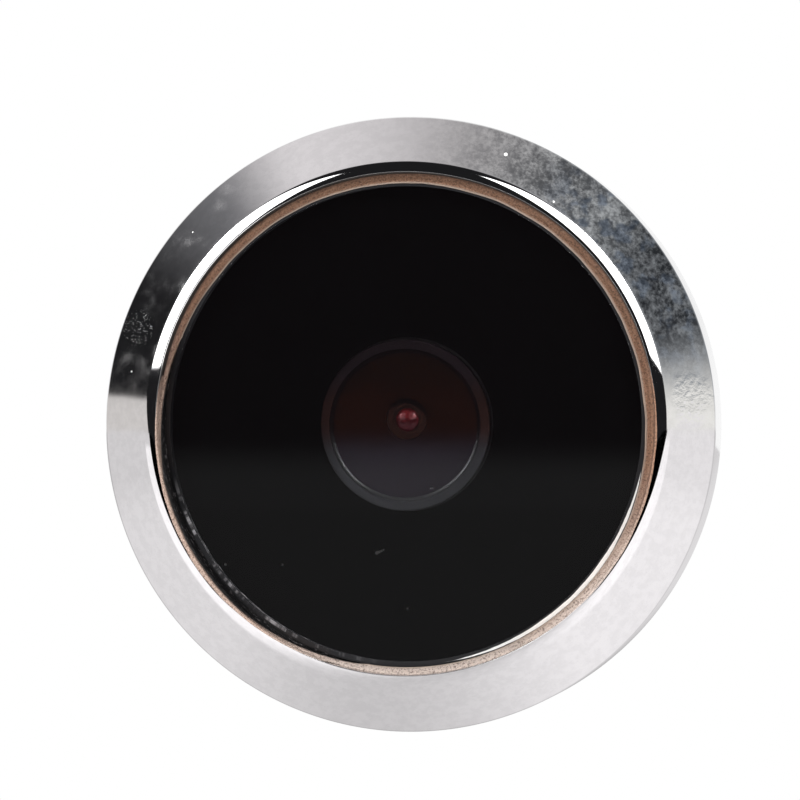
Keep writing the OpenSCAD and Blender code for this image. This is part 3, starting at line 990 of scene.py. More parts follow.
@dataclass(frozen=True)
class CoatedLensFinish(Finish):
    """The small front lens: dark glass under a red coating, with a painted reflection that makes it
    brighter towards its top.

    Attributes:
        top: colour of the coating at its top, with a painted reflection of the bright room above.
        middle: colour on the axis.
        bottom: colour at its bottom.
        reach: radius in millimetres of the coloured part.
    """

    top: Colour = (0.084, 0.0068, 0.0078)
    middle: Colour = (0.03, 0.0025, 0.0035)
    bottom: Colour = (0.024, 0.0018, 0.0038)
    reach: float = 0.95

    def dress(self, sheet: NodeSheet, skin: Sockets) -> None:
        """Draws the coating, uneven, with a painted reflection running from its bright top to its dark
        bottom.
        """
        _, _, z = sheet.split(sheet.place())
        cloud = sheet.noise(sheet.place(), 0.4, 2.0)
        # Painted reflection: the red brightens towards the top, standing for the coating's reflection of
        # the room above.
        up = z / (self.reach * MM) + cloud
        colour = up.ramp(-0.2, 0.6).blend(self.bottom, self.middle)
        feeds = {
            "Base Color": up.ramp(0.62, 1.2).blend(colour, self.top),
            "Roughness": cloud.ramp(0.3, 0.7, 0.08, 0.12),
            "IOR": 1.38,
            "Specular Tint": (1.0, 0.56, 0.6),
        }
        sheet.feed_all(skin, feeds)


@dataclass(frozen=True)
class SealantFinish(Finish):
    """Brown sealant, matte and speckled, with a pale feathered edge on the glass, painted light at its left
    and lower right, and painted shade under the lip and in the open gap.

    Attributes:
        colour: the usual brown.
        dark: the brown where its lumps are low, and of the painted shade under the lip.
        pale: painted light on the bead's left and lower right; at the lower right it stands for light that
            the chrome lip throws onto it.
        edge: colour of its feathered edge.
        shade: painted shade at the bottom of the gap that it doesn't fill, laid on the bead where it dips
            into the gap.
        streak: colour of the streaks there.
        wall_r: radius in millimetres where it meets the bezel.
    """

    colour: Colour = (0.33, 0.18, 0.112)
    dark: Colour = (0.07, 0.034, 0.022)
    pale: Colour = (0.6, 0.51, 0.455)
    edge: Colour = (0.45, 0.36, 0.3)
    shade: Colour = (0.02, 0.019, 0.02)
    streak: Colour = (0.2, 0.185, 0.19)
    wall_r: float = 20.3

    def dress(self, sheet: NodeSheet, skin: Sockets) -> None:
        """Draws the sealant by place round the axis, with painted light and painted shade, and painted
        shade where it leaves the gap open.
        """
        radius, _, turn = sheet.group(SharedEffects.round_axis())
        (marks,) = sheet.group(SharedEffects.turning_marks(), fineness=7.0, length=0.9)
        lump = sheet.noise(sheet.place(), 1 / 6.5, 3.0, 0.7)
        # Painted light: paler at the left and at the lower right.
        left = turn.ramp(150, 180) * 0.45
        below = turn.ramp(-130, -100, 0.45, 0.95) * turn.ramp(-4, -48) * (turn < 0.0)
        painted_light = left | below
        # Painted shade: darker next to the lip's wall, where the lip shades the bead, except where it is
        # painted light.
        painted_shade = radius.ramp(self.wall_r - 0.3, self.wall_r - 0.03) * 0.75
        painted_shade = painted_shade * radius.ramp(self.wall_r + 0.04, self.wall_r) * painted_light.ramp(0.6, 0.2)
        colour = painted_shade.blend(painted_light.blend(self.colour, self.pale), self.dark)
        colour = (lump.ramp(0.52, 0.36) * 0.75).blend(colour, self.dark)
        colour = (lump.ramp(0.56, 0.7) * 0.45).blend(colour, self.edge)
        colour = (sheet.mark("across").ramp(0.74, 0.95) * 0.85).blend(colour, self.edge)
        # Painted shade where the bead dips into the open gap, with streaks across it.
        gap = marks.ramp(0.54, 0.66).blend(self.shade, self.streak)
        feeds = {
            "Base Color": sheet.mark("hollow").ramp(0.1, 0.55).blend(colour, gap),
            "Roughness": lump.ramp(0.3, 0.7, 0.65, 0.95),
            "Normal": sheet.bump(lump, 0.08),
        }
        sheet.feed_all(skin, feeds)


@dataclass(frozen=True)
class MouldedFinish(Finish):
    """Moulded plastic, paint or film with a fine grain.

    Attributes:
        colour: its usual colour.
        sheen: roughness of its grain.
        grain: size of the grain in millimetres.
        depth: depth of the grain in millimetres.
        shine: strength of its reflection, 0.5 for plain plastic.
        dusty: strength of the dust on it.
        dust: colour of the dust.
    """

    colour: Colour
    sheen: float = 0.5
    grain: float = 0.12
    depth: float = 0.008
    shine: float = 0.5
    dusty: float = 0.3
    dust: Colour = (0.3, 0.3, 0.29)

    def dress(self, sheet: NodeSheet, skin: Sockets) -> None:
        """Draws the plastic, its grain, its mottling and the dust on it."""
        grain, mottle = sheet.group(SharedEffects.mould_grain(), grain=self.grain)
        (speck,) = sheet.group(SharedEffects.dust(), spacing=0.9, amount=0.04)
        colour = mottle.blend(tinted(self.colour, 0.7), tinted(self.colour, 1.5))
        feeds = {
            "Base Color": (speck * self.dusty).blend(colour, self.dust),
            "Roughness": grain.ramp(0.2, 0.8, self.sheen - 0.08, self.sheen + 0.1),
            "Normal": sheet.bump(grain, self.depth),
            "Specular IOR Level": self.shine,
        }
        sheet.feed_all(skin, feeds)


@dataclass(frozen=True)
class CapFinish(Finish):
    """The lens's black cap, with a painted reflection of the room: darker above, warm at the height of the
    pupil and grey in its lower part.

    Attributes:
        upper: colour of its upper part, a painted reflection of the dark room above.
        colour: colour at the height of the pupil, a painted reflection of the warm room at the horizon.
        lower: colour of its lower part, a painted reflection of the pale floor.
        reflection_bands: heights in millimetres where the painted upper and then the painted lower colour
            start and end.
        sheen: roughness of the black.
        wiped: strength of the shine that wiping left on its lower part, 1 for plain plastic's.
    """

    upper: Colour = (0.0083, 0.0055, 0.0066)
    colour: Colour = (0.015, 0.0064, 0.005)
    lower: Colour = (0.0216, 0.0216, 0.024)
    reflection_bands: tuple[float, float, float, float] = (1.4, 4.2, -0.1, -2.7)
    sheen: float = 0.45
    wiped: float = 0.0

    def dress(self, sheet: NodeSheet, skin: Sockets) -> None:
        """Draws the black by height, with a soft border where the painted reflection of the floor starts.
        """
        grain, mottle = sheet.group(SharedEffects.mould_grain(), grain=0.12)
        _, _, z = sheet.split(sheet.place())
        # Painted reflection: darker above, warm at the pupil's height and grey below, as the room and the
        # floor would mirror in it.
        height = z / MM + (mottle - 0.5) * 0.5
        colour = height.ramp(*self.reflection_bands[:2]).blend(self.colour, self.upper)
        feeds = {
            "Base Color": height.ramp(*self.reflection_bands[2:]).blend(colour, self.lower),
            "Roughness": grain.ramp(0.2, 0.8, self.sheen - 0.05, self.sheen + 0.05),
            "Normal": sheet.bump(grain, 0.002),
            "Specular IOR Level": 0.0,
        }
        sheet.feed_all(skin, feeds)
        if self.wiped > 0:
            shine = height.ramp(*self.reflection_bands[2:], 0.0, self.wiped)
            sheet.feed_all(skin, {"Coat Weight": shine, "Coat Roughness": self.sheen})


@dataclass(frozen=True)
class RubberFinish(Finish):
    """Black rubber, moulded or foamed, greyed by dust.

    Attributes:
        colour: its colour where it is clean.
        cells: kind of surface.
        cell: size of the foam's cells in millimetres.
        pit: colour inside the foam's cells.
        dust: colour of the dust.
    """

    colour: Colour = (0.022, 0.022, 0.023)
    cells: Cells = Cells.MOULDED
    cell: float = 0.35
    pit: Colour = (0.008, 0.008, 0.008)
    dust: Colour = (0.3, 0.29, 0.27)

    def dress(self, sheet: NodeSheet, skin: Sockets) -> None:
        """Draws the rubber, its cells or grain, and the dust on it."""
        grain, mottle = sheet.group(SharedEffects.mould_grain(), grain=0.2)
        (bloom,) = sheet.group(SharedEffects.handling(), patch=5.0, speck=0.6, amount=0.3)
        (speck,) = sheet.group(SharedEffects.dust(), spacing=0.8, amount=0.12)
        colour = (bloom * 0.5).blend(self.colour, tinted(self.colour, 2.6, 0.012))
        height, depth = grain, 0.02
        if self.cells is Cells.FOAM:
            distance, _ = sheet.cells(self.cell)
            height, depth = distance.ramp(0.1, 0.6), 0.06
            colour = distance.ramp(0.35, 0.05).blend(colour, self.pit)
        feeds = {
            "Base Color": (speck * 0.35).blend(colour, self.dust),
            "Roughness": mottle.ramp(0.3, 0.7, 0.55, 0.85),
            "Normal": sheet.bump(height, depth),
        }
        sheet.feed_all(skin, feeds)


@dataclass(frozen=True)
class BoardFinish(Finish):
    """Green circuit board with lighter tracks under its resist.

    Attributes:
        colour: colour of the resist.
        track: colour of the resist over copper.
    """

    colour: Colour = (0.015, 0.09, 0.035)
    track: Colour = (0.04, 0.2, 0.08)

    def dress(self, sheet: NodeSheet, skin: Sockets) -> None:
        """Draws the board and its tracks."""
        flat = sheet.stretched(sheet.place(), (1, 1, 1), (90, 0, 0))
        weave = {"Vector": flat, "Scale": 700.0, "Mortar Size": 0.06}
        tracks = sheet.draw("ShaderNodeTexBrick", weave, "Fac", offset=0.5)
        feeds = {
            "Base Color": tracks.blend(self.colour, self.track),
            "Roughness": sheet.noise(sheet.place(), 1 / 3).ramp(0.3, 0.7, 0.2, 0.35),
            "Normal": sheet.bump(tracks, 0.02),
        }
        sheet.feed_all(skin, feeds)


CHROME = ChromeFinish("chrome")
WINDOW = GlassFinish(
    "tinted_glass",
    tint=(0.86, 0.87, 0.88),
    specks=(
        (-14.7, -11.4, 0.14),
        (-10.0, -11.4, 0.12),
        (-2.3, -10.42, 0.19),
        (-2.1, -10.34, 0.15),
        (-1.92, -10.26, 0.12),
        (-1.75, -10.18, 0.09),
        (0.2, -14.9, 0.11),
        (2.1, -5.2, 0.08),
    ),
)
WINDOW_SIDE = MouldedFinish(
    "tinted_glass.side", colour=(0.012, 0.012, 0.013), sheen=0.3, grain=0.3, depth=0.02
)
WINDOW_EDGE = GroundGlassFinish("tinted_glass.edge")
SEALANT = SealantFinish("sealant")
FILM = MouldedFinish(
    "black_film", colour=(0.0012, 0.0012, 0.0013), sheen=0.7, depth=0.002, shine=0.0, dusty=0.0
)
LENS_BLACK = MouldedFinish("lens_black", colour=(0.004, 0.0036, 0.0037), sheen=0.36, shine=0.25, dusty=0.01)
LENS_RIM = CapFinish("lens_black.rim")
LENS_DISH = CapFinish(
    "lens_black.dish",
    upper=(0.005, 0.0014, 0.0004),
    colour=(0.0078, 0.0018, 0.0006),
    lower=(0.0125, 0.0098, 0.0138),
)
LENS_HOLLOW = CapFinish(
    "lens_black.hollow",
    upper=(0.002, 0.0005, 0.0005),
    colour=(0.003, 0.001, 0.001),
    lower=(0.012, 0.012, 0.013),
    sheen=0.17,
    wiped=1.0,
)
LENS_GREY = MouldedFinish("lens_grey", colour=(0.0112, 0.0036, 0.0022), grain=0.06, shine=0.02, dusty=0.0)
COATED_LENS = CoatedLensFinish("coated_lens")
CLEAR_LENS = GlassFinish("clear_lens", tint=(0.84, 0.9, 0.93))
FILTER_GLASS = GlassFinish("filter_glass", tint=(0.85, 0.5, 0.62), polish=0.01)
MOULDING = MouldedFinish("moulding", colour=(0.018, 0.018, 0.019), sheen=0.55)
SENSOR = MouldedFinish("sensor_package", colour=(0.06, 0.06, 0.075), sheen=0.25, depth=0.003)
BOARD = BoardFinish("circuit_board")
CONNECTOR = MouldedFinish("connector", colour=(0.62, 0.56, 0.44))
SCREW_STEEL = PlatedFinish("screw_steel", colour=(0.56, 0.56, 0.57), stain=(0.3, 0.28, 0.25))
NICKEL = PlatedFinish("nickel", colour=(0.72, 0.7, 0.65), groove_r=6.25)
PLATE_PAINT = MouldedFinish("plate_paint", colour=(0.045, 0.045, 0.048), sheen=0.42, grain=0.25)
RUBBER = RubberFinish("rubber")
GASKET_RUBBER = RubberFinish("gasket_rubber", colour=(0.028, 0.028, 0.029), cells=Cells.FOAM)
FOAM = RubberFinish("foam", colour=(0.02, 0.02, 0.021), cells=Cells.FOAM, cell=0.5)
WASHER_STEEL = PlatedFinish("washer_steel", colour=(0.62, 0.62, 0.61), stain=(0.4, 0.37, 0.3), polish=0.28)


@dataclass
class CameraHead:
    """Bezel, window and sealant. Sizes are in millimetres; heights run from the door towards the visitor.

    Attributes:
        bezel_r: outside radius of the bezel.
        lip_in_r: radius of the window's well.
        lip_z: height of the lip.
        lip_r: radius of the rolled lip.
        bevel: slope of the bevelled face in degrees.
        rim_round: rounding between the bevel and the side wall.
        rim_gap: height of the bezel's back rim.
        pocket_r: radius of the pocket for the back plate.
        cavity_r: radius of the cavity.
        shoulder_z: height of the shoulder on the back plate.
        ledge_r: radius of the window's ledge.
        ledge_z: height of the ledge.
        ledge_t: thickness of the ledge.
        lug_r: radius of a screw lug.
        lug_pitch_r: radius of the ring of lugs.
        lug_bore_r: radius of a lug's bore.
        window_r: radius of the window.
        window_z: height of the window's back.
        window_front_z: height of the window's face.
        chamfer: ground chamfer of the window.
        window_shift: how far the window was set off the middle of its well, to the right and up.
        seal_z: height of the bead of sealant before it is worked.
        lap_step: width of a step in the lap of sealant over the lip.
        gap: stretch that the sealant leaves open, as its middle and half of its length in degrees.
        smears: stretches where the sealant is smeared over the lip, given alike.
        feathered: stretch where the sealant's edge is feathered over the glass, given alike.
    """

    bezel_r: float = 25.0
    lip_in_r: float = 20.3
    lip_z: float = 9.95
    lip_r: float = 2.3
    bevel: float = 33.0
    rim_round: float = 0.4
    rim_gap: float = 0.5
    pocket_r: float = 23.0
    cavity_r: float = 20.9
    shoulder_z: float = 3.2
    ledge_r: float = 17.15
    ledge_z: float = 7.5
    ledge_t: float = 1.0
    lug_r: float = 2.4
    lug_pitch_r: float = 19.2
    lug_bore_r: float = 1.03
    window_r: float = 19.68
    window_z: float = 7.62
    window_front_z: float = 9.45
    chamfer: float = 0.46
    window_shift: Point = (-0.04, 0.02)
    seal_z: float = 8.8
    lap_step: float = 0.05
    gap: Point = (-150.0, 52.0)
    smears: tuple[Point, Point] = ((-150.0, 44.0), (-20.0, 46.0))
    feathered: Point = (74.0, 96.0)

    def build(self) -> None:
        """Builds the three pieces of the head's face."""
        self.build_bezel()
        self.build_window()
        self.build_sealant()

    def bezel_outline(self) -> list[Point]:
        """Gives the bezel's closed outline, with its bevel tangent to the lip and to the rim."""
        slope = math.radians(self.bevel)
        n_r, n_z = math.sin(slope), math.cos(slope)
        lip_c = (self.lip_in_r, self.lip_z - self.lip_r)
        reach = n_r * lip_c[0] + n_z * lip_c[1] + self.lip_r
        rim_c_r = self.bezel_r - self.rim_round
        rim_c = (rim_c_r, (reach - self.rim_round - n_r * rim_c_r) / n_z)
        rim = arc(rim_c, self.rim_round, 0, 90 - self.bevel, 8)
        lip = arc(lip_c, self.lip_r, 90 - self.bevel, 90, 18)
        under = self.ledge_z - self.ledge_t
        corners = soften(
            [
                (self.lip_in_r, self.lip_z),
                (self.lip_in_r, self.ledge_z),
                (self.ledge_r, self.ledge_z),
                (self.ledge_r, under),
                (self.cavity_r, under),
                (self.cavity_r, self.shoulder_z),
                (self.pocket_r, self.shoulder_z),
                (self.pocket_r, self.rim_gap),
                (self.bezel_r, self.rim_gap),
                rim[0],
            ],
            0.12,
            closed=False,
        )
        edge = 0.07
        well_edge = arc((self.lip_in_r + edge, self.lip_z - edge), edge, 90, 180, 4)
        face = [rim[-1], *between(rim[-1], lip[0], 7)]
        return [*rim[:-1], *face, *lip[:-1], *well_edge, *corners[1:-1]]

    def build_bezel(self) -> None:
        """Turns the bezel, joins its screw lugs on and bores them."""
        bezel = Bench.turn("bezel_shell", self.bezel_outline(), 320)
        low = self.shoulder_z + 0.05
        high = self.ledge_z - self.ledge_t + 0.2

        def lug() -> bpy.types.Object:
            """Turns one lug on the axis."""
            return Bench.rod("lug", self.lug_r, low, high, 40)

        def bore() -> bpy.types.Object:
            """Turns one lug's bore on the axis, with a drill's point."""
            r, point = self.lug_bore_r, 0.4
            outline = [(0, low - 1), (r, low - 1), (r, high - point), (0, high)]
            return Bench.turn("bore", outline, 24, closed=False)

        Bench.carve(bezel, Bench.ring_of(lug, 3, self.lug_pitch_r), Cut.ON)
        Bench.carve(bezel, Bench.ring_of(bore, 3, self.lug_pitch_r), Cut.AWAY)
        Bench.tidy(bezel)
        Bench.hand_over(bezel, Body.CAMERA, CHROME, ["front_bezel"], smooth=30)

    def build_window(self) -> None:
        """Turns the window, grinds its edge and sets it a little off the middle of its well."""
        r, low, high, c = self.window_r, self.window_z, self.window_front_z, self.chamfer
        corners = [(0, low), (r - c, low), (r, low + c), (r, high - c), (r - c, high), (0, high)]
        window = Bench.turn("window_pane", soften(corners, 0.012, closed=False), 256, closed=False)
        rim = window.data.attributes.new("rim", "FLOAT", "POINT")
        for vertex in window.data.vertices:
            radius, _ = polar(vertex.co)
            rim.data[vertex.index].value = max(0.0, (radius - r + c) / c)
        for finish in (WINDOW, WINDOW_EDGE, WINDOW_SIDE):
            window.data.materials.append(finish.material())
        edge_from, side_from = r - c + 0.01, r - 0.03
        for face in window.data.polygons:
            radius, _ = polar(face.center)
            face.material_index = int(radius > edge_from) + int(radius > side_from)
        Bench.pick(window)
        shift = (self.window_shift[0] * MM, 0, self.window_shift[1] * MM)
        bpy.ops.transform.translate(value=shift)
        Bench.hand_over(window, Body.CAMERA, WINDOW, ["window_glass"])

    def seal_box(self) -> tuple[float, float, float, float]:
        """Gives the plain bead's outer and inner radius, and its low and high side."""
        clear = 0.02
        return self.lip_in_r - clear, self.window_r + clear, self.ledge_z + 0.05, self.seal_z

    def build_sealant(self) -> None:
        """Turns the bead of sealant, then works it by hand."""
        out_r, in_r, low, high = self.seal_box()
        lap = [(out_r + self.lap_step * k, high) for k in (5, 4, 3, 2, 1)]
        top = between((out_r, high), (in_r, high), 17)
        outline = [(out_r, low), *lap, (out_r, high), *top, (in_r, high), (in_r, low)]
        bead = Bench.turn("sealant_bead", outline, 480)
        across_mark = bead.data.attributes.new("across", "FLOAT", "POINT")
        hollow_mark = bead.data.attributes.new("hollow", "FLOAT", "POINT")
        for vertex in bead.data.vertices:
            vertex.co, across, hollow = self.worked(vertex.co)
            across_mark.data[vertex.index].value = across
            hollow_mark.data[vertex.index].value = hollow
        Bench.tidy(bead)
        Bench.hand_over(bead, Body.CAMERA, SEALANT, ["window_seal"], smooth=50)

    def worked(self, place: Vector) -> tuple[Vector, float, float]:
        """Works a point of the plain bead by hand: smeared over the lip, and open at the lower left.

        Args:
            place: the point, in metres.

        Returns:
            Its new place, its way across the bead from lip to glass, and its share in the open gap.
        """
        wall_rise, glass_rise, smear_rise, gap_depth = 0.14, 0.28, 0.4, 0.95
        ripple_rise, fine_rise = 0.02, 0.03
        lap_reach = (0.0, -0.02, 0.04, 0.16, 0.27, 0.3)
        lap_rise = (0.5, 1.0, 1.03, 1.035, 1.03, 1.0)
        out_r, in_r, low, high = self.seal_box()
        x, height, z = place.x / MM, -place.y / MM, place.z / MM
        radius, turn = math.hypot(x, z), math.atan2(z, x)
        ray = Vector((math.cos(turn), math.sin(turn)))
        across = (out_r - radius) / (out_r - in_r)
        ripple = noise.noise(Vector((9 * ray.x, 9 * ray.y, 0.3)))
        fine = noise.noise(Vector((34 * ray.x, 34 * ray.y, 5 * across)))
        gap = min(1.0, 1.15 * self.swell(turn, *self.gap))
        left, right = (self.swell(turn, *stretch) for stretch in self.smears)
        smear = max(left, 0.75 * right) * (1 + 0.2 * ripple)
        climb, lap_over = min(1.0, smear / 0.15), max(0.0, (smear - 0.12) / 0.88)
        feather = 0.26 * min(1.0, 2.2 * self.swell(turn, *self.feathered)) * (1 + 0.25 * ripple)
        width = 1 - gap + 0.05 * ripple * gap
        past = max(0.0, min(1.0, (across - width + 0.12) / 0.16)) * min(1.0, 6 * gap)
        hollow = past * past * (3 - 2 * past)
        if across < -0.01:
            step = round((radius - out_r) / self.lap_step)
            radius = out_r + lap_over * lap_reach[step]
            height += wall_rise + climb * (lap_rise[step] * (self.lip_z - high) - wall_rise)
        else:
            radius = out_r - across * (out_r - in_r - Vector(self.window_shift).dot(ray))
            if height > low + 0.1:
                edges = glass_rise * across**2 + wall_rise * (1 - across) ** 5
                height += edges + ripple_rise * ripple + fine_rise * fine
                height += smear_rise * smear * (1 - across) ** 4 - gap_depth * hollow
                radius -= across * feather
                height += feather * across**2
        new_place = Vector((radius * ray.x * MM, -max(height, low + 0.02) * MM, radius * ray.y * MM))
        return new_place, across, hollow

    @staticmethod
    def swell(turn: float, middle: float, half: float) -> float:
        """Rises from nothing to one and back over a stretch of the ring.

        Args:
            turn: place on the ring in radians.
            middle: middle of the stretch in degrees.
            half: half of its length in degrees.

        Returns:
            Height of the swell, from 0 to 1.
        """
        off = math.remainder(turn - math.radians(middle), math.tau) / math.radians(half)
        return math.cos(off * math.pi / 2) if abs(off) < 1 else 0.0


@dataclass
class LensCore:
    """The lens behind the window: dished cap, ring round the pupil and the small front lens.

    Attributes:
        cap_r: radius of the cap.
        cap_z: height of the cap's back.
        front_z: height of the cap's rim.
        rim_w: width of the rim.
        dish_z: height of the dish.
        ring_r: radius of the recess for the pupil's ring.
        ring_z: height of the ring's seat.
        lens_r: radius of the front lens.
        lens_seat_z: height of the front lens's seat.
        dome_r: radius of the lens's dome.
        stop_r: radius of the stop behind it.
        group_r: radius of the bore for the inner lenses.
        group_z: height where that bore starts.
        body_r: radius of the focusing thread.
        back_z: height of the barrel's back end.
        pupil_r: radius of the pupil.
        hollow_r: radius of the hollow between the dish and the rim.
        cap_shift: how far the cap was set off the axis, to the right and up.
        pupil_shift: how far the pupil was set off the cap's middle.
        lens_drop: how far the front lens sits below the middle of the pupil.
    """

    cap_r: float = 6.95
    cap_z: float = 6.0
    front_z: float = 7.4
    rim_w: float = 0.75
    dish_z: float = 6.9
    ring_r: float = 1.65
    ring_z: float = 6.42
    lens_r: float = 1.1
    lens_seat_z: float = 5.12
    dome_r: float = 2.1
    stop_r: float = 0.7
    group_r: float = 2.98
    group_z: float = 4.72
    body_r: float = 4.0
    back_z: float = -2.5
    pupil_r: float = 0.95
    hollow_r: float = 0.34
    cap_shift: Point = (-0.22, -0.1)
    pupil_shift: Point = (0.12, 0.47)
    lens_drop: float = 0.12

    def build(self) -> None:
        """Builds the three pieces of the lens that show through the window."""
        self.build_cap()
        self.build_ring()
        self.build_lens()

    def set_off(self, piece: bpy.types.Object) -> None:
        """Moves a piece's front part as the cap was set, and its middle as the pupil was set.

        Args:
            piece: piece turned on the axis.
        """
        for vertex in piece.data.vertices:
            radius, height = polar(vertex.co)
            share = max(0.0, min(1.0, (height - self.group_z) / (self.lens_seat_z - self.group_z)))
            centre = 1.0 if radius < self.ring_r + 0.1 else 0.0
            vertex.co.x += share * (self.cap_shift[0] + centre * self.pupil_shift[0]) * MM
            vertex.co.z += share * (self.cap_shift[1] + centre * self.pupil_shift[1]) * MM

    def build_cap(self) -> None:
        """Turns the lens barrel with its dished cap, and finishes its dish, hollow and rim."""
        dish_r = self.cap_r - self.rim_w
        seat_r = self.lens_r + self.lens_drop + 0.02
        h = self.hollow_r
        outline = soften(
            [
                (dish_r - h, self.dish_z),
                (self.ring_r, self.dish_z),
                (self.ring_r, self.ring_z),
                (seat_r, self.ring_z),
                (seat_r, self.lens_seat_z),
                (self.stop_r, self.lens_seat_z),
                (self.stop_r, self.group_z),
                (self.group_r, self.group_z),
                (self.group_r, self.back_z),
                (self.body_r, self.back_z),
                (self.body_r, self.cap_z),
                (self.cap_r, self.cap_z),
                (self.cap_r, self.front_z),
                (dish_r, self.front_z),
            ],
            0.1,
            closed=False,
        )
        hollow = arc((dish_r - h, self.dish_z + h), h, 0, -90, 10)
        flat = [(dish_r - h - 0.05, self.dish_z), (self.ring_r + 0.2, self.dish_z)]
        cap = Bench.turn("lens_cap", [*flat, *outline[1:-1], (dish_r, self.front_z - 0.01), *hollow], 160)
        for finish in (LENS_BLACK, LENS_DISH, LENS_HOLLOW, LENS_RIM):
            cap.data.materials.append(finish.material())
        for face in cap.data.polygons:
            radius, height = polar(face.center)
            if height > self.cap_z + 0.05 and radius > self.ring_r:
                in_hollow, on_rim = radius > dish_r - h, radius > dish_r - 0.005
                face.material_index = 1 + int(in_hollow) + int(on_rim)
        self.set_off(cap)
        Bench.hand_over(cap, Body.CAMERA, LENS_BLACK, ["lens_barrel"])

    def build_ring(self) -> None:
        """Turns the ring round the pupil, countersunk towards the visitor."""
        clear, sink_w, sink_h = 0.03, 0.22, 0.14
        high, low, out_r = self.dish_z - clear, self.ring_z, self.ring_r - clear
        outline = [
            (self.pupil_r, low),
            (out_r, low),
            (out_r, high),
            (self.pupil_r + sink_w, high),
            (self.pupil_r, high - sink_h),
        ]
        ring = Bench.turn("pupil_ring", soften(outline, 0.04), 96)
        self.set_off(ring)
        Bench.hand_over(ring, Body.CAMERA, LENS_GREY, ["aperture_ring"])

    def build_lens(self) -> None:
        """Turns the front lens with its dome."""
        top = self.ring_z + 0.28
        edge = math.degrees(math.asin(self.lens_r / self.dome_r))
        dome = arc((0, top - self.dome_r), self.dome_r, 90 - edge, 90, 20)
        outline = [(0, self.lens_seat_z), (self.lens_r, self.lens_seat_z), *dome[:-1], (0, top)]
        lens = Bench.turn("pupil_lens", outline, 96, closed=False)
        self.set_off(lens)
        Bench.pick(lens)
        bpy.ops.transform.translate(value=(0, 0, -self.lens_drop * MM))
        Bench.hand_over(lens, Body.CAMERA, COATED_LENS, ["front_lens"])


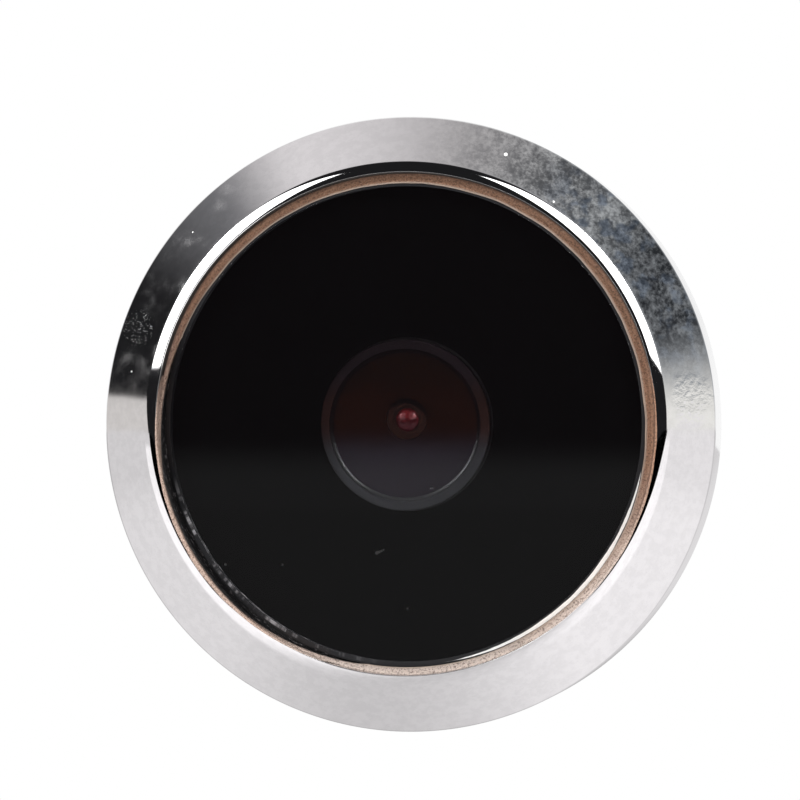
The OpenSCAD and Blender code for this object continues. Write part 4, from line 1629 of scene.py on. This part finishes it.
@dataclass
class DoorBarrel:
    """Threaded barrel, door gasket and cable bush.

    Attributes:
        thread_r: outside radius of the thread.
        root_r: radius at the thread's root.
        pitch: pitch of the thread.
        bore_r: radius of the barrel's bore.
        flange_r: radius of the flange inside the head.
        flange_z: height of the flange's front.
        shoulder_z: height of the flange's back.
        thread_from: height where the thread starts.
        thread_to: height where the thread ends.
        end_z: height of the barrel's inner end.
        pilot_r: radius of the plain pilot.
        keyway_w: width of the keyway.
        keyway_from: height where the keyway starts.
        gasket_in_r: inner radius of the gasket.
        gasket_r: outer radius of the gasket.
        gasket_t: thickness of the gasket.
        cable_r: radius of the bush's hole.
        bush_r: radius of the bush's head.
        bush_l: length of the bush inside the barrel.
        bush_head_h: height of the bush's head.
    """

    thread_r: float = 7.0
    root_r: float = 6.2
    pitch: float = 1.5
    bore_r: float = 5.6
    flange_r: float = 10.5
    flange_z: float = 4.4
    shoulder_z: float = 3.2
    thread_from: float = 1.0
    thread_to: float = -61.4
    end_z: float = -70.03
    pilot_r: float = 6.5
    keyway_w: float = 3.0
    keyway_from: float = -34.7
    gasket_in_r: float = 7.3
    gasket_r: float = 22.6
    gasket_t: float = 1.2
    cable_r: float = 2.6
    bush_r: float = 6.2
    bush_l: float = 6.0
    bush_head_h: float = 1.2

    def build(self) -> None:
        """Builds the barrel, the gasket and the bush."""
        self.build_barrel()
        self.build_gasket()
        self.build_bush()

    def ridge(self) -> bpy.types.Object:
        """Winds the thread's ridge round the barrel, as one closed right-handed helix."""
        crest, flank = 0.1, math.tan(math.radians(30))
        sunk_r = self.root_r - 0.12
        base = crest + (self.thread_r - sunk_r) * flank
        z = self.thread_from
        outline = [
            (sunk_r, z + base),
            (self.thread_r - 0.05, z + crest + 0.03),
            (self.thread_r, z + crest - 0.02),
            (self.thread_r, z - crest + 0.02),
            (self.thread_r - 0.05, z - crest - 0.03),
            (sunk_r, z - base),
        ]
        ridge = Bench.chain("thread_ridge", [*outline, outline[0]])
        bpy.ops.mesh.remove_doubles(threshold=MERGE)
        bpy.ops.object.mode_set(mode="OBJECT")
        turns = int((self.thread_from - self.thread_to) / self.pitch)
        steps = {"steps": 64, "render_steps": 64}
        Bench.change(ridge, "SCREW", axis="Y", screw_offset=self.pitch * MM, iterations=turns, **steps)
        bpy.ops.object.mode_set(mode="EDIT")
        bpy.ops.mesh.select_all(action="SELECT")
        bpy.ops.mesh.fill_holes(sides=len(outline))
        Bench.close_up()
        return ridge

    def build_barrel(self) -> None:
        """Turns the barrel, winds its thread on, and mills the keyway through thread and pilot."""
        run_out, broken = self.thread_to - 0.7, 0.5
        core = soften(
            [
                (self.bore_r, self.flange_z),
                (self.flange_r, self.flange_z),
                (self.flange_r, self.shoulder_z),
                (self.thread_r, self.shoulder_z),
                (self.thread_r, self.thread_from + 0.3),
                (self.root_r, self.thread_from - 0.4),
                (self.root_r, run_out),
                (self.pilot_r, run_out - 0.3),
                (self.pilot_r, self.end_z + broken),
                (self.pilot_r - broken, self.end_z),
                (self.bore_r, self.end_z),
            ],
            0.08,
        )
        barrel = Bench.turn("barrel_thread", core, 128)
        Bench.carve(barrel, self.ridge(), Cut.ON)
        half = self.keyway_w / 2
        slot = Bench.block("keyway", (-half, -self.keyway_from, self.root_r + 0.02), (half, 90, 12))
        Bench.carve(barrel, slot, Cut.AWAY)
        Bench.tidy(barrel)
        Bench.hand_over(barrel, Body.CAMERA, NICKEL, ["threaded_barrel"], smooth=38)

    def build_gasket(self) -> None:
        """Turns the foam gasket with shallow grooves in the face that meets the door."""
        outline = [
            (self.gasket_in_r, self.gasket_t),
            (self.gasket_r, self.gasket_t),
            (self.gasket_r, 0),
            *grooves((20.6, 17.6, 14.6, 11.6), mouth=0.45, floor=0.2, face=0, bottom=0.3),
            (self.gasket_in_r, 0),
        ]
        gasket = Bench.turn("gasket_ring", soften(outline, 0.22), 220)
        Bench.hand_over(gasket, Body.CAMERA, GASKET_RUBBER, ["door_gasket"])

    def build_bush(self) -> None:
        """Turns the cable bush with its rounded head and funnelled hole."""
        head_z = self.end_z - self.bush_head_h
        plug_r = self.bore_r - 0.03
        funnel, shoulder = 0.5, 0.4
        outline = [
            (self.cable_r, head_z + funnel),
            (self.cable_r + funnel, head_z),
            (self.bush_r - shoulder, head_z),
            (self.bush_r, head_z + shoulder),
            (self.bush_r, self.end_z),
            (plug_r, self.end_z),
            (plug_r, self.end_z + self.bush_l),
            (self.cable_r, self.end_z + self.bush_l),
        ]
        bush = Bench.turn("bush_plug", soften(outline, 0.18), 96)
        Bench.hand_over(bush, Body.CAMERA, RUBBER, ["cable_bush"])


@dataclass
class ClampSet:
    """Pad, keyed washer and ribbed ring nut behind the door.

    Attributes:
        pad_front_z: height of the pad's face on the door.
        pad_back_z: height of the pad's back.
        pad_in_r: inner radius of the pad.
        pad_r: outer radius of the pad.
        washer_back_z: height of the washer's back.
        washer_in_r: inner radius of the washer.
        washer_r: outer radius of the washer.
        tongue_tip_r: radius of the tongue's tip.
        tongue_w: width of the tongue.
        nut_front_z: height of the nut's front.
        nut_back_z: height of the nut's back.
        nut_r: radius over the nut's ribs.
        nut_bore_r: radius of the nut's bore.
        grooves: number of grip grooves.
        groove_r: radius of a grip groove.
        slot_w: width of the spanner slots.
        slot_depth: depth of the spanner slots.
    """

    pad_front_z: float = -40.0
    pad_back_z: float = -41.5
    pad_in_r: float = 7.3
    pad_r: float = 13.7
    washer_back_z: float = -43.0
    washer_in_r: float = 7.1
    washer_r: float = 14.0
    tongue_tip_r: float = 6.35
    tongue_w: float = 2.7
    nut_front_z: float = -43.03
    nut_back_z: float = -51.03
    nut_r: float = 12.0
    nut_bore_r: float = 7.05
    grooves: int = 30
    groove_r: float = 0.9
    slot_w: float = 2.6
    slot_depth: float = 1.8

    def build(self) -> None:
        """Builds the three pieces of the clamp."""
        self.build_pad()
        self.build_washer()
        self.build_nut()

    def build_pad(self) -> None:
        """Turns the rubber pad with two grooves in the face that meets the door."""
        front, depth = self.pad_front_z, 0.35
        outline = [
            (self.pad_in_r, self.pad_back_z),
            (self.pad_r, self.pad_back_z),
            (self.pad_r, front),
            *grooves((12.0, 9.4), mouth=0.4, floor=0.15, face=front, bottom=front - depth),
            (self.pad_in_r, front),
        ]
        pad = Bench.turn("pad_ring", soften(outline, 0.25), 160)
        Bench.hand_over(pad, Body.WASHER, GASKET_RUBBER, ["clamp_pad"])

    def build_washer(self) -> None:
        """Stamps the washer: a rounded ring with its tongue joined on."""
        low, high = self.washer_back_z, self.pad_back_z
        in_r, out_r = self.washer_in_r, self.washer_r
        corners = [(in_r, low), (out_r, low), (out_r, high), (in_r, high)]
        washer = Bench.turn("washer_plate", soften(corners, 0.25), 160)
        half, inset = self.tongue_w / 2, 0.03
        tip = (-half, -high + inset, self.tongue_tip_r)
        root = (half, -low - inset, in_r + 0.6)
        tongue = Bench.block("tongue", tip, root)
        Bench.break_edges(tongue, 0.12)
        Bench.carve(washer, tongue, Cut.ON)
        Bench.tidy(washer)
        Bench.hand_over(washer, Body.WASHER, WASHER_STEEL, ["clamp_washer"])

    def build_nut(self) -> None:
        """Turns the ring nut, cuts its grip grooves and spanner slots, and breaks their edges."""
        low, high, bore, out = self.nut_back_z, self.nut_front_z, self.nut_bore_r, self.nut_r
        sunk, broken, border = 0.4, 0.8, 0.4
        side = [
            (bore, sunk),
            (bore + sunk, 0),
            (bore + sunk + border, 0),
            (out - broken - border, 0),
            (out - broken, 0),
            (out, broken),
        ]
        outline = [(r, low + h) for r, h in side] + [(r, high - h) for r, h in reversed(side)]
        nut = Bench.turn("nut_ring", outline, 180)

        def groove() -> bpy.types.Object:
            """Turns one groove's cutter on the axis."""
            return Bench.rod("groove", self.groove_r, low - 1, high + 1, 24)

        Bench.carve(nut, Bench.ring_of(groove, self.grooves, out + self.groove_r / 3), Cut.AWAY)
        half = self.slot_w / 2
        slots = Bench.block("slots", (-20, -low - self.slot_depth, -half), (20, -low + 5, half))
        Bench.carve(nut, slots, Cut.AWAY)
        Bench.tidy(nut)
        Bench.break_edges(nut, 0.1)
        Bench.hand_over(nut, Body.NUT, NICKEL, ["clamp_nut"], level=True)


@dataclass
class InnerWorks:
    """The CAD nodes whose shape is right as it is, with their finishes.

    Attributes:
        finishes: finish of each node.
    """

    finishes: dict[str, Finish] = field(
        default_factory=lambda: {
            "mask_film": FILM,
            "light_seal": FOAM,
            "middle_lens": CLEAR_LENS,
            "lens_spacer": LENS_BLACK,
            "rear_lens": CLEAR_LENS,
            "lens_retainer": LENS_BLACK,
            "focus_lock_ring": LENS_GREY,
            "lens_mount": MOULDING,
            "ir_cut_filter": FILTER_GLASS,
            "image_sensor": SENSOR,
            "sensor_board": BOARD,
            "cable_connector": CONNECTOR,
            "core_screws": SCREW_STEEL,
            "back_plate": PLATE_PAINT,
            "plate_seal": RUBBER,
            "plate_screws": SCREW_STEEL,
        }
    )

    def dress(self) -> None:
        """Gives each node its finish."""
        for name, finish in self.finishes.items():
            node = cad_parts[name]
            for slot in node.material_slots:
                slot.material = finish.material()
            LOG.info("%s: kept, finish %s", name, finish.slot)


@dataclass(frozen=True)
class SoftBox:
    """A soft lamp that faces the object.

    Attributes:
        name: name of the lamp.
        place: its middle, in metres.
        side: its width and height in metres.
        watts: its power.
    """

    name: str
    place: Sequence[float]
    side: float
    watts: float

    def hang(self) -> None:
        """Adds the lamp, out of sight of the camera, of polished metal and of glass."""
        lamp = bpy.data.lights.new(self.name, "AREA")
        lamp.shape = "RECTANGLE"
        lamp.size = lamp.size_y = self.side
        lamp.energy = self.watts
        holder = bpy.data.objects.new(self.name, lamp)
        holder.location = self.place
        holder.rotation_euler = (-Vector(self.place)).to_track_quat("-Z", "Y").to_euler()
        holder.visible_camera = False
        holder.visible_glossy = False
        holder.visible_transmission = False
        bpy.context.collection.objects.link(holder)


@dataclass(frozen=True)
class RoomPatch:
    """A bright part of the room, given by the facing that mirrors it into the camera.

    Attributes:
        tilt: where the facing's tilt from the front fades in and out again, in degrees: four values.
        turn: where its turn from +X towards +Z fades in and out again, in degrees: four values.
        colour: light of the patch.
        point: turn at which the patch narrows to a point, or None for a plain patch.
        taper: turn over which it narrows, in degrees.
        slant: turn by which its ends lean for each degree of tilt.
        lean: tilt by which its lower side falls for each degree of turn.
    """

    tilt: Fade
    turn: Fade
    colour: Colour
    point: Optional[float] = None
    taper: float = 28.0
    slant: float = 0.0
    lean: float = 0.0

    def over(self, room: Feed, tilt: Wire, turn: Wire) -> Wire:
        """Lays the patch over the room.

        Args:
            room: light of the room so far.
            tilt: tilt of the facing.
            turn: turn of the facing.

        Returns:
            The room's light with the patch.
        """
        a, b, c, d = self.tilt
        low, high = tilt + (turn - self.turn[1]) * self.lean, tilt
        if self.point is not None:
            near = ((1.0 - abs(turn - self.point) / self.taper) | 0.0) ** 2.0
            narrow = near * ((d - a) / 2)
            low, high = low - narrow, high + narrow
        across = low.ramp(a, b) * high.ramp(d, c)
        along = turn - (d - tilt) * self.slant
        a, b, c, d = self.turn
        return (across * along.ramp(a, b) * turn.ramp(d, c)).blend(room, self.colour)


@dataclass
class Studio:
    """Floor, soft lamps, the room that polished metal shows, and the camera.

    Attributes:
        floor_z: height of the floor in metres.
        floor_r: radius of the floor in metres.
        azimuth: camera's turn to the right of the front, in degrees.
        elevation: camera's height angle in degrees.
        distance: camera's distance in metres.
        focal: focal length in millimetres on the sensor.
        sensor: width of the sensor in millimetres.
        aim: point in the middle of the picture, in metres.
        dark: light of the room in front of the object.
        bright: light of the room behind it.
        glow: light round the camera, above and below its height.
        lamps: the soft lamps, which polished metal doesn't show.
        patches: the bright parts of the room, which it does.
    """

    floor_z: float = -0.06
    floor_r: float = 4.0
    azimuth: float = 7.5
    elevation: float = -0.5
    distance: float = 0.4
    focal: float = 222.6
    sensor: float = 36.0
    aim: Sequence[float] = (-0.00041, -0.0094, 0.00194)
    dark: Colour = (0.013, 0.013, 0.014)
    bright: Colour = (0.98, 0.98, 0.98)
    glow: tuple[Colour, Colour] = ((0.066, 0.053, 0.06), (0.22, 0.215, 0.22))
    lamps: tuple[SoftBox, ...] = (
        SoftBox("overhead", (-0.1, -0.1, 0.9), 0.8, 6.0),
        SoftBox("rear_right", (0.7, 0.9, 0.6), 0.9, 9.0),
        SoftBox("rear_left", (-0.8, 0.8, 0.5), 0.8, 6.0),
    )
    patches: tuple[RoomPatch, ...] = (
        RoomPatch((24.5, 26, 66, 78), (-2, 12, 50, 90), (0.34, 0.36, 0.38)),
        RoomPatch((24.5, 26, 50, 60), (100, 112, 125, 155), (0.19, 0.19, 0.2)),
        RoomPatch((24.5, 26, 50, 60), (40, 112, 112, 132), (0.78, 0.755, 0.765)),
        RoomPatch((24.5, 26, 50, 60), (-40, -30, 1, 17), (0.9, 0.895, 0.86)),
        RoomPatch((24.5, 26, 50, 60), (174.3, 175.2, 200, 210), (0.69, 0.665, 0.65), lean=0.9),
        RoomPatch((24.5, 26, 50, 60), (-190, -184.8, -176, -172), (0.69, 0.665, 0.65), lean=0.9),
        RoomPatch((9.3, 10.3, 24.2, 25.2), (10, 11, 73, 74), (3.0, 3.0, 3.0), point=73.5, slant=0.28),
        RoomPatch((6.2, 7.2, 24.6, 25.6), (103.5, 104, 167, 168.5), (3.0, 3.0, 3.0), point=103.5, taper=32),
        RoomPatch((19, 21, 24, 25), (26, 32, 46, 52), (24.0, 24.0, 24.0)),
        RoomPatch((19, 21, 24, 25), (128, 134, 148, 154), (24.0, 24.0, 24.0)),
    )

    def build(self) -> None:
        """Builds the studio and sets how the picture is shown."""
        self.lay_floor()
        self.paint_room()
        for lamp in self.lamps:
            lamp.hang()
        self.set_camera()
        view = bpy.context.scene.view_settings
        view.view_transform = "Standard"
        view.look = "None"

    def towards_camera(self) -> Vector:
        """Gives the direction from the object to the camera."""
        turn, rise = math.radians(self.azimuth), math.radians(self.elevation)
        return Vector((math.sin(turn) * math.cos(rise), -math.cos(turn) * math.cos(rise), math.sin(rise)))

    def lay_floor(self) -> None:
        """Lays a pale round floor that fades to plain white away from the object."""
        Bench.clear()
        bpy.ops.mesh.primitive_circle_add(
            vertices=96, radius=self.floor_r, fill_type="NGON", location=(0, 0, self.floor_z)
        )
        floor = Bench.named("floor")
        bpy.ops.object.mode_set(mode="EDIT")
        bpy.ops.mesh.select_all(action="SELECT")
        bpy.ops.mesh.inset(thickness=0.5 * self.floor_r)
        bpy.ops.object.mode_set(mode="OBJECT")
        made = bpy.data.materials.new("floor_pale")
        sheet = NodeSheet.fresh(made)
        x, y, _ = sheet.split(sheet.place())
        matte = sheet.draw("ShaderNodeBsdfDiffuse", {"Color": (0.8, 0.8, 0.8)})
        white = sheet.draw("ShaderNodeEmission", {"Strength": 1.0})
        pale = sheet.mix_shaders(sheet.hypot(x, y).ramp(0.05, 0.4), matte, white)
        light = {"Color": (1.0, 0.98, 0.99), "Strength": self.mirrored_floor(x, y)}
        shown = sheet.draw("ShaderNodeEmission", light)
        end = sheet.add("ShaderNodeOutputMaterial")
        sheet.feed(end.inputs["Surface"], sheet.mix_shaders(sheet.ray("Is Glossy Ray"), pale, shown))
        floor.data.materials.append(made)

    @staticmethod
    def mirrored_floor(x: Wire, y: Wire) -> Wire:
        """Gives the light of the floor as polished metal shows it: a table between two dark edges.

        Args:
            x: place on the floor to the right.
            y: place on the floor towards the back.

        Returns:
            Light of the floor there.
        """
        table = 0.66
        right_rises = ((-0.012, 0.045, 0.34), (0.1, 0.32, -0.11))
        left_rises = ((-0.012, -0.065, 0.18), (-0.13, -0.4, -0.11))
        middle = (-0.005, 0.005)
        aside = abs(x)
        light = sum((x.ramp(start, end, 0.0, rise) for start, end, rise in right_rises + left_rises), table)
        near = y + aside * x.ramp(*middle, 0.45, 0.6) + x.ramp(*middle, 0.02, 0.018)
        shine = near.ramp(0.0, -0.03) * aside.ramp(0.015, 0.07) * x.ramp(*middle, 0.36, 0.2)
        light = (light + shine * aside.ramp(1.1, 0.7)) * y.ramp(-0.01, 0.03, 1.0, 0.75)
        left = (y + aside * 1.05).ramp(-0.09, -0.125) * x.ramp(-0.085, -0.1)
        left = left * (x - y * 0.28).ramp(0.0, -0.03)
        right = (y + aside * 0.85).ramp(-0.27, -0.31) * x.ramp(0.015, 0.03)
        far = y.ramp(-0.4, -0.7) * (aside + y * 0.5).ramp(0.0, -0.08)
        light = light * (1.0 - far) + far * 0.2
        return light * (1.0 - (left | right))

    def paint_room(self) -> None:
        """Paints the room round the object, and plain white behind it."""
        world = bpy.data.worlds.new("studio_room")
        bpy.context.scene.world = world
        sheet = NodeSheet.fresh(world)
        look = sheet.draw("ShaderNodeTexCoord", {}, "Generated")
        _, back, up = sheet.split(look)
        halfway = sheet.draw("ShaderNodeVectorMath", {0: look, 1: self.towards_camera()}, operation="ADD")
        x, y, z = sheet.split(sheet.draw("ShaderNodeVectorMath", {0: halfway}, operation="NORMALIZE"))
        tilt = sheet.math("DEGREES", sheet.math("ARCCOSINE", y * -1.0))
        turn = sheet.bearing(x, z)
        room = back.ramp(0.0, 0.5).blend(self.dark, self.bright)
        room = tilt.ramp(3.2, 2.2).blend(room, up.ramp(0.0015, -0.0075).blend(*self.glow))
        for patch in self.patches:
            room = patch.over(room, tilt, turn)
        around = sheet.draw("ShaderNodeBackground", {"Color": room})
        white = sheet.draw("ShaderNodeBackground", {"Color": (1.0, 1.0, 1.0)})
        end = sheet.add("ShaderNodeOutputWorld")
        sheet.feed(end.inputs["Surface"], sheet.mix_shaders(sheet.ray("Is Camera Ray"), around, white))

    def set_camera(self) -> None:
        """Stands the camera at the photograph's angle."""
        lens = bpy.data.cameras.new("photo_camera")
        lens.sensor_width = self.sensor
        lens.lens = self.focal
        lens.clip_start = 0.01
        holder = bpy.data.objects.new("photo_camera", lens)
        away = self.towards_camera()
        holder.location = Vector(self.aim) + self.distance * away
        holder.rotation_euler = (-away).to_track_quat("-Z", "Y").to_euler()
        bpy.context.collection.objects.link(holder)
        bpy.context.scene.camera = holder


def main() -> None:
    """Builds the sub-assemblies in order, then the studio."""
    logging.basicConfig(level=logging.INFO, format="%(name)s: %(message)s")
    CameraHead().build()
    LensCore().build()
    DoorBarrel().build()
    ClampSet().build()
    InnerWorks().dress()
    Studio().build()


if __name__ == "__main__":
    main()
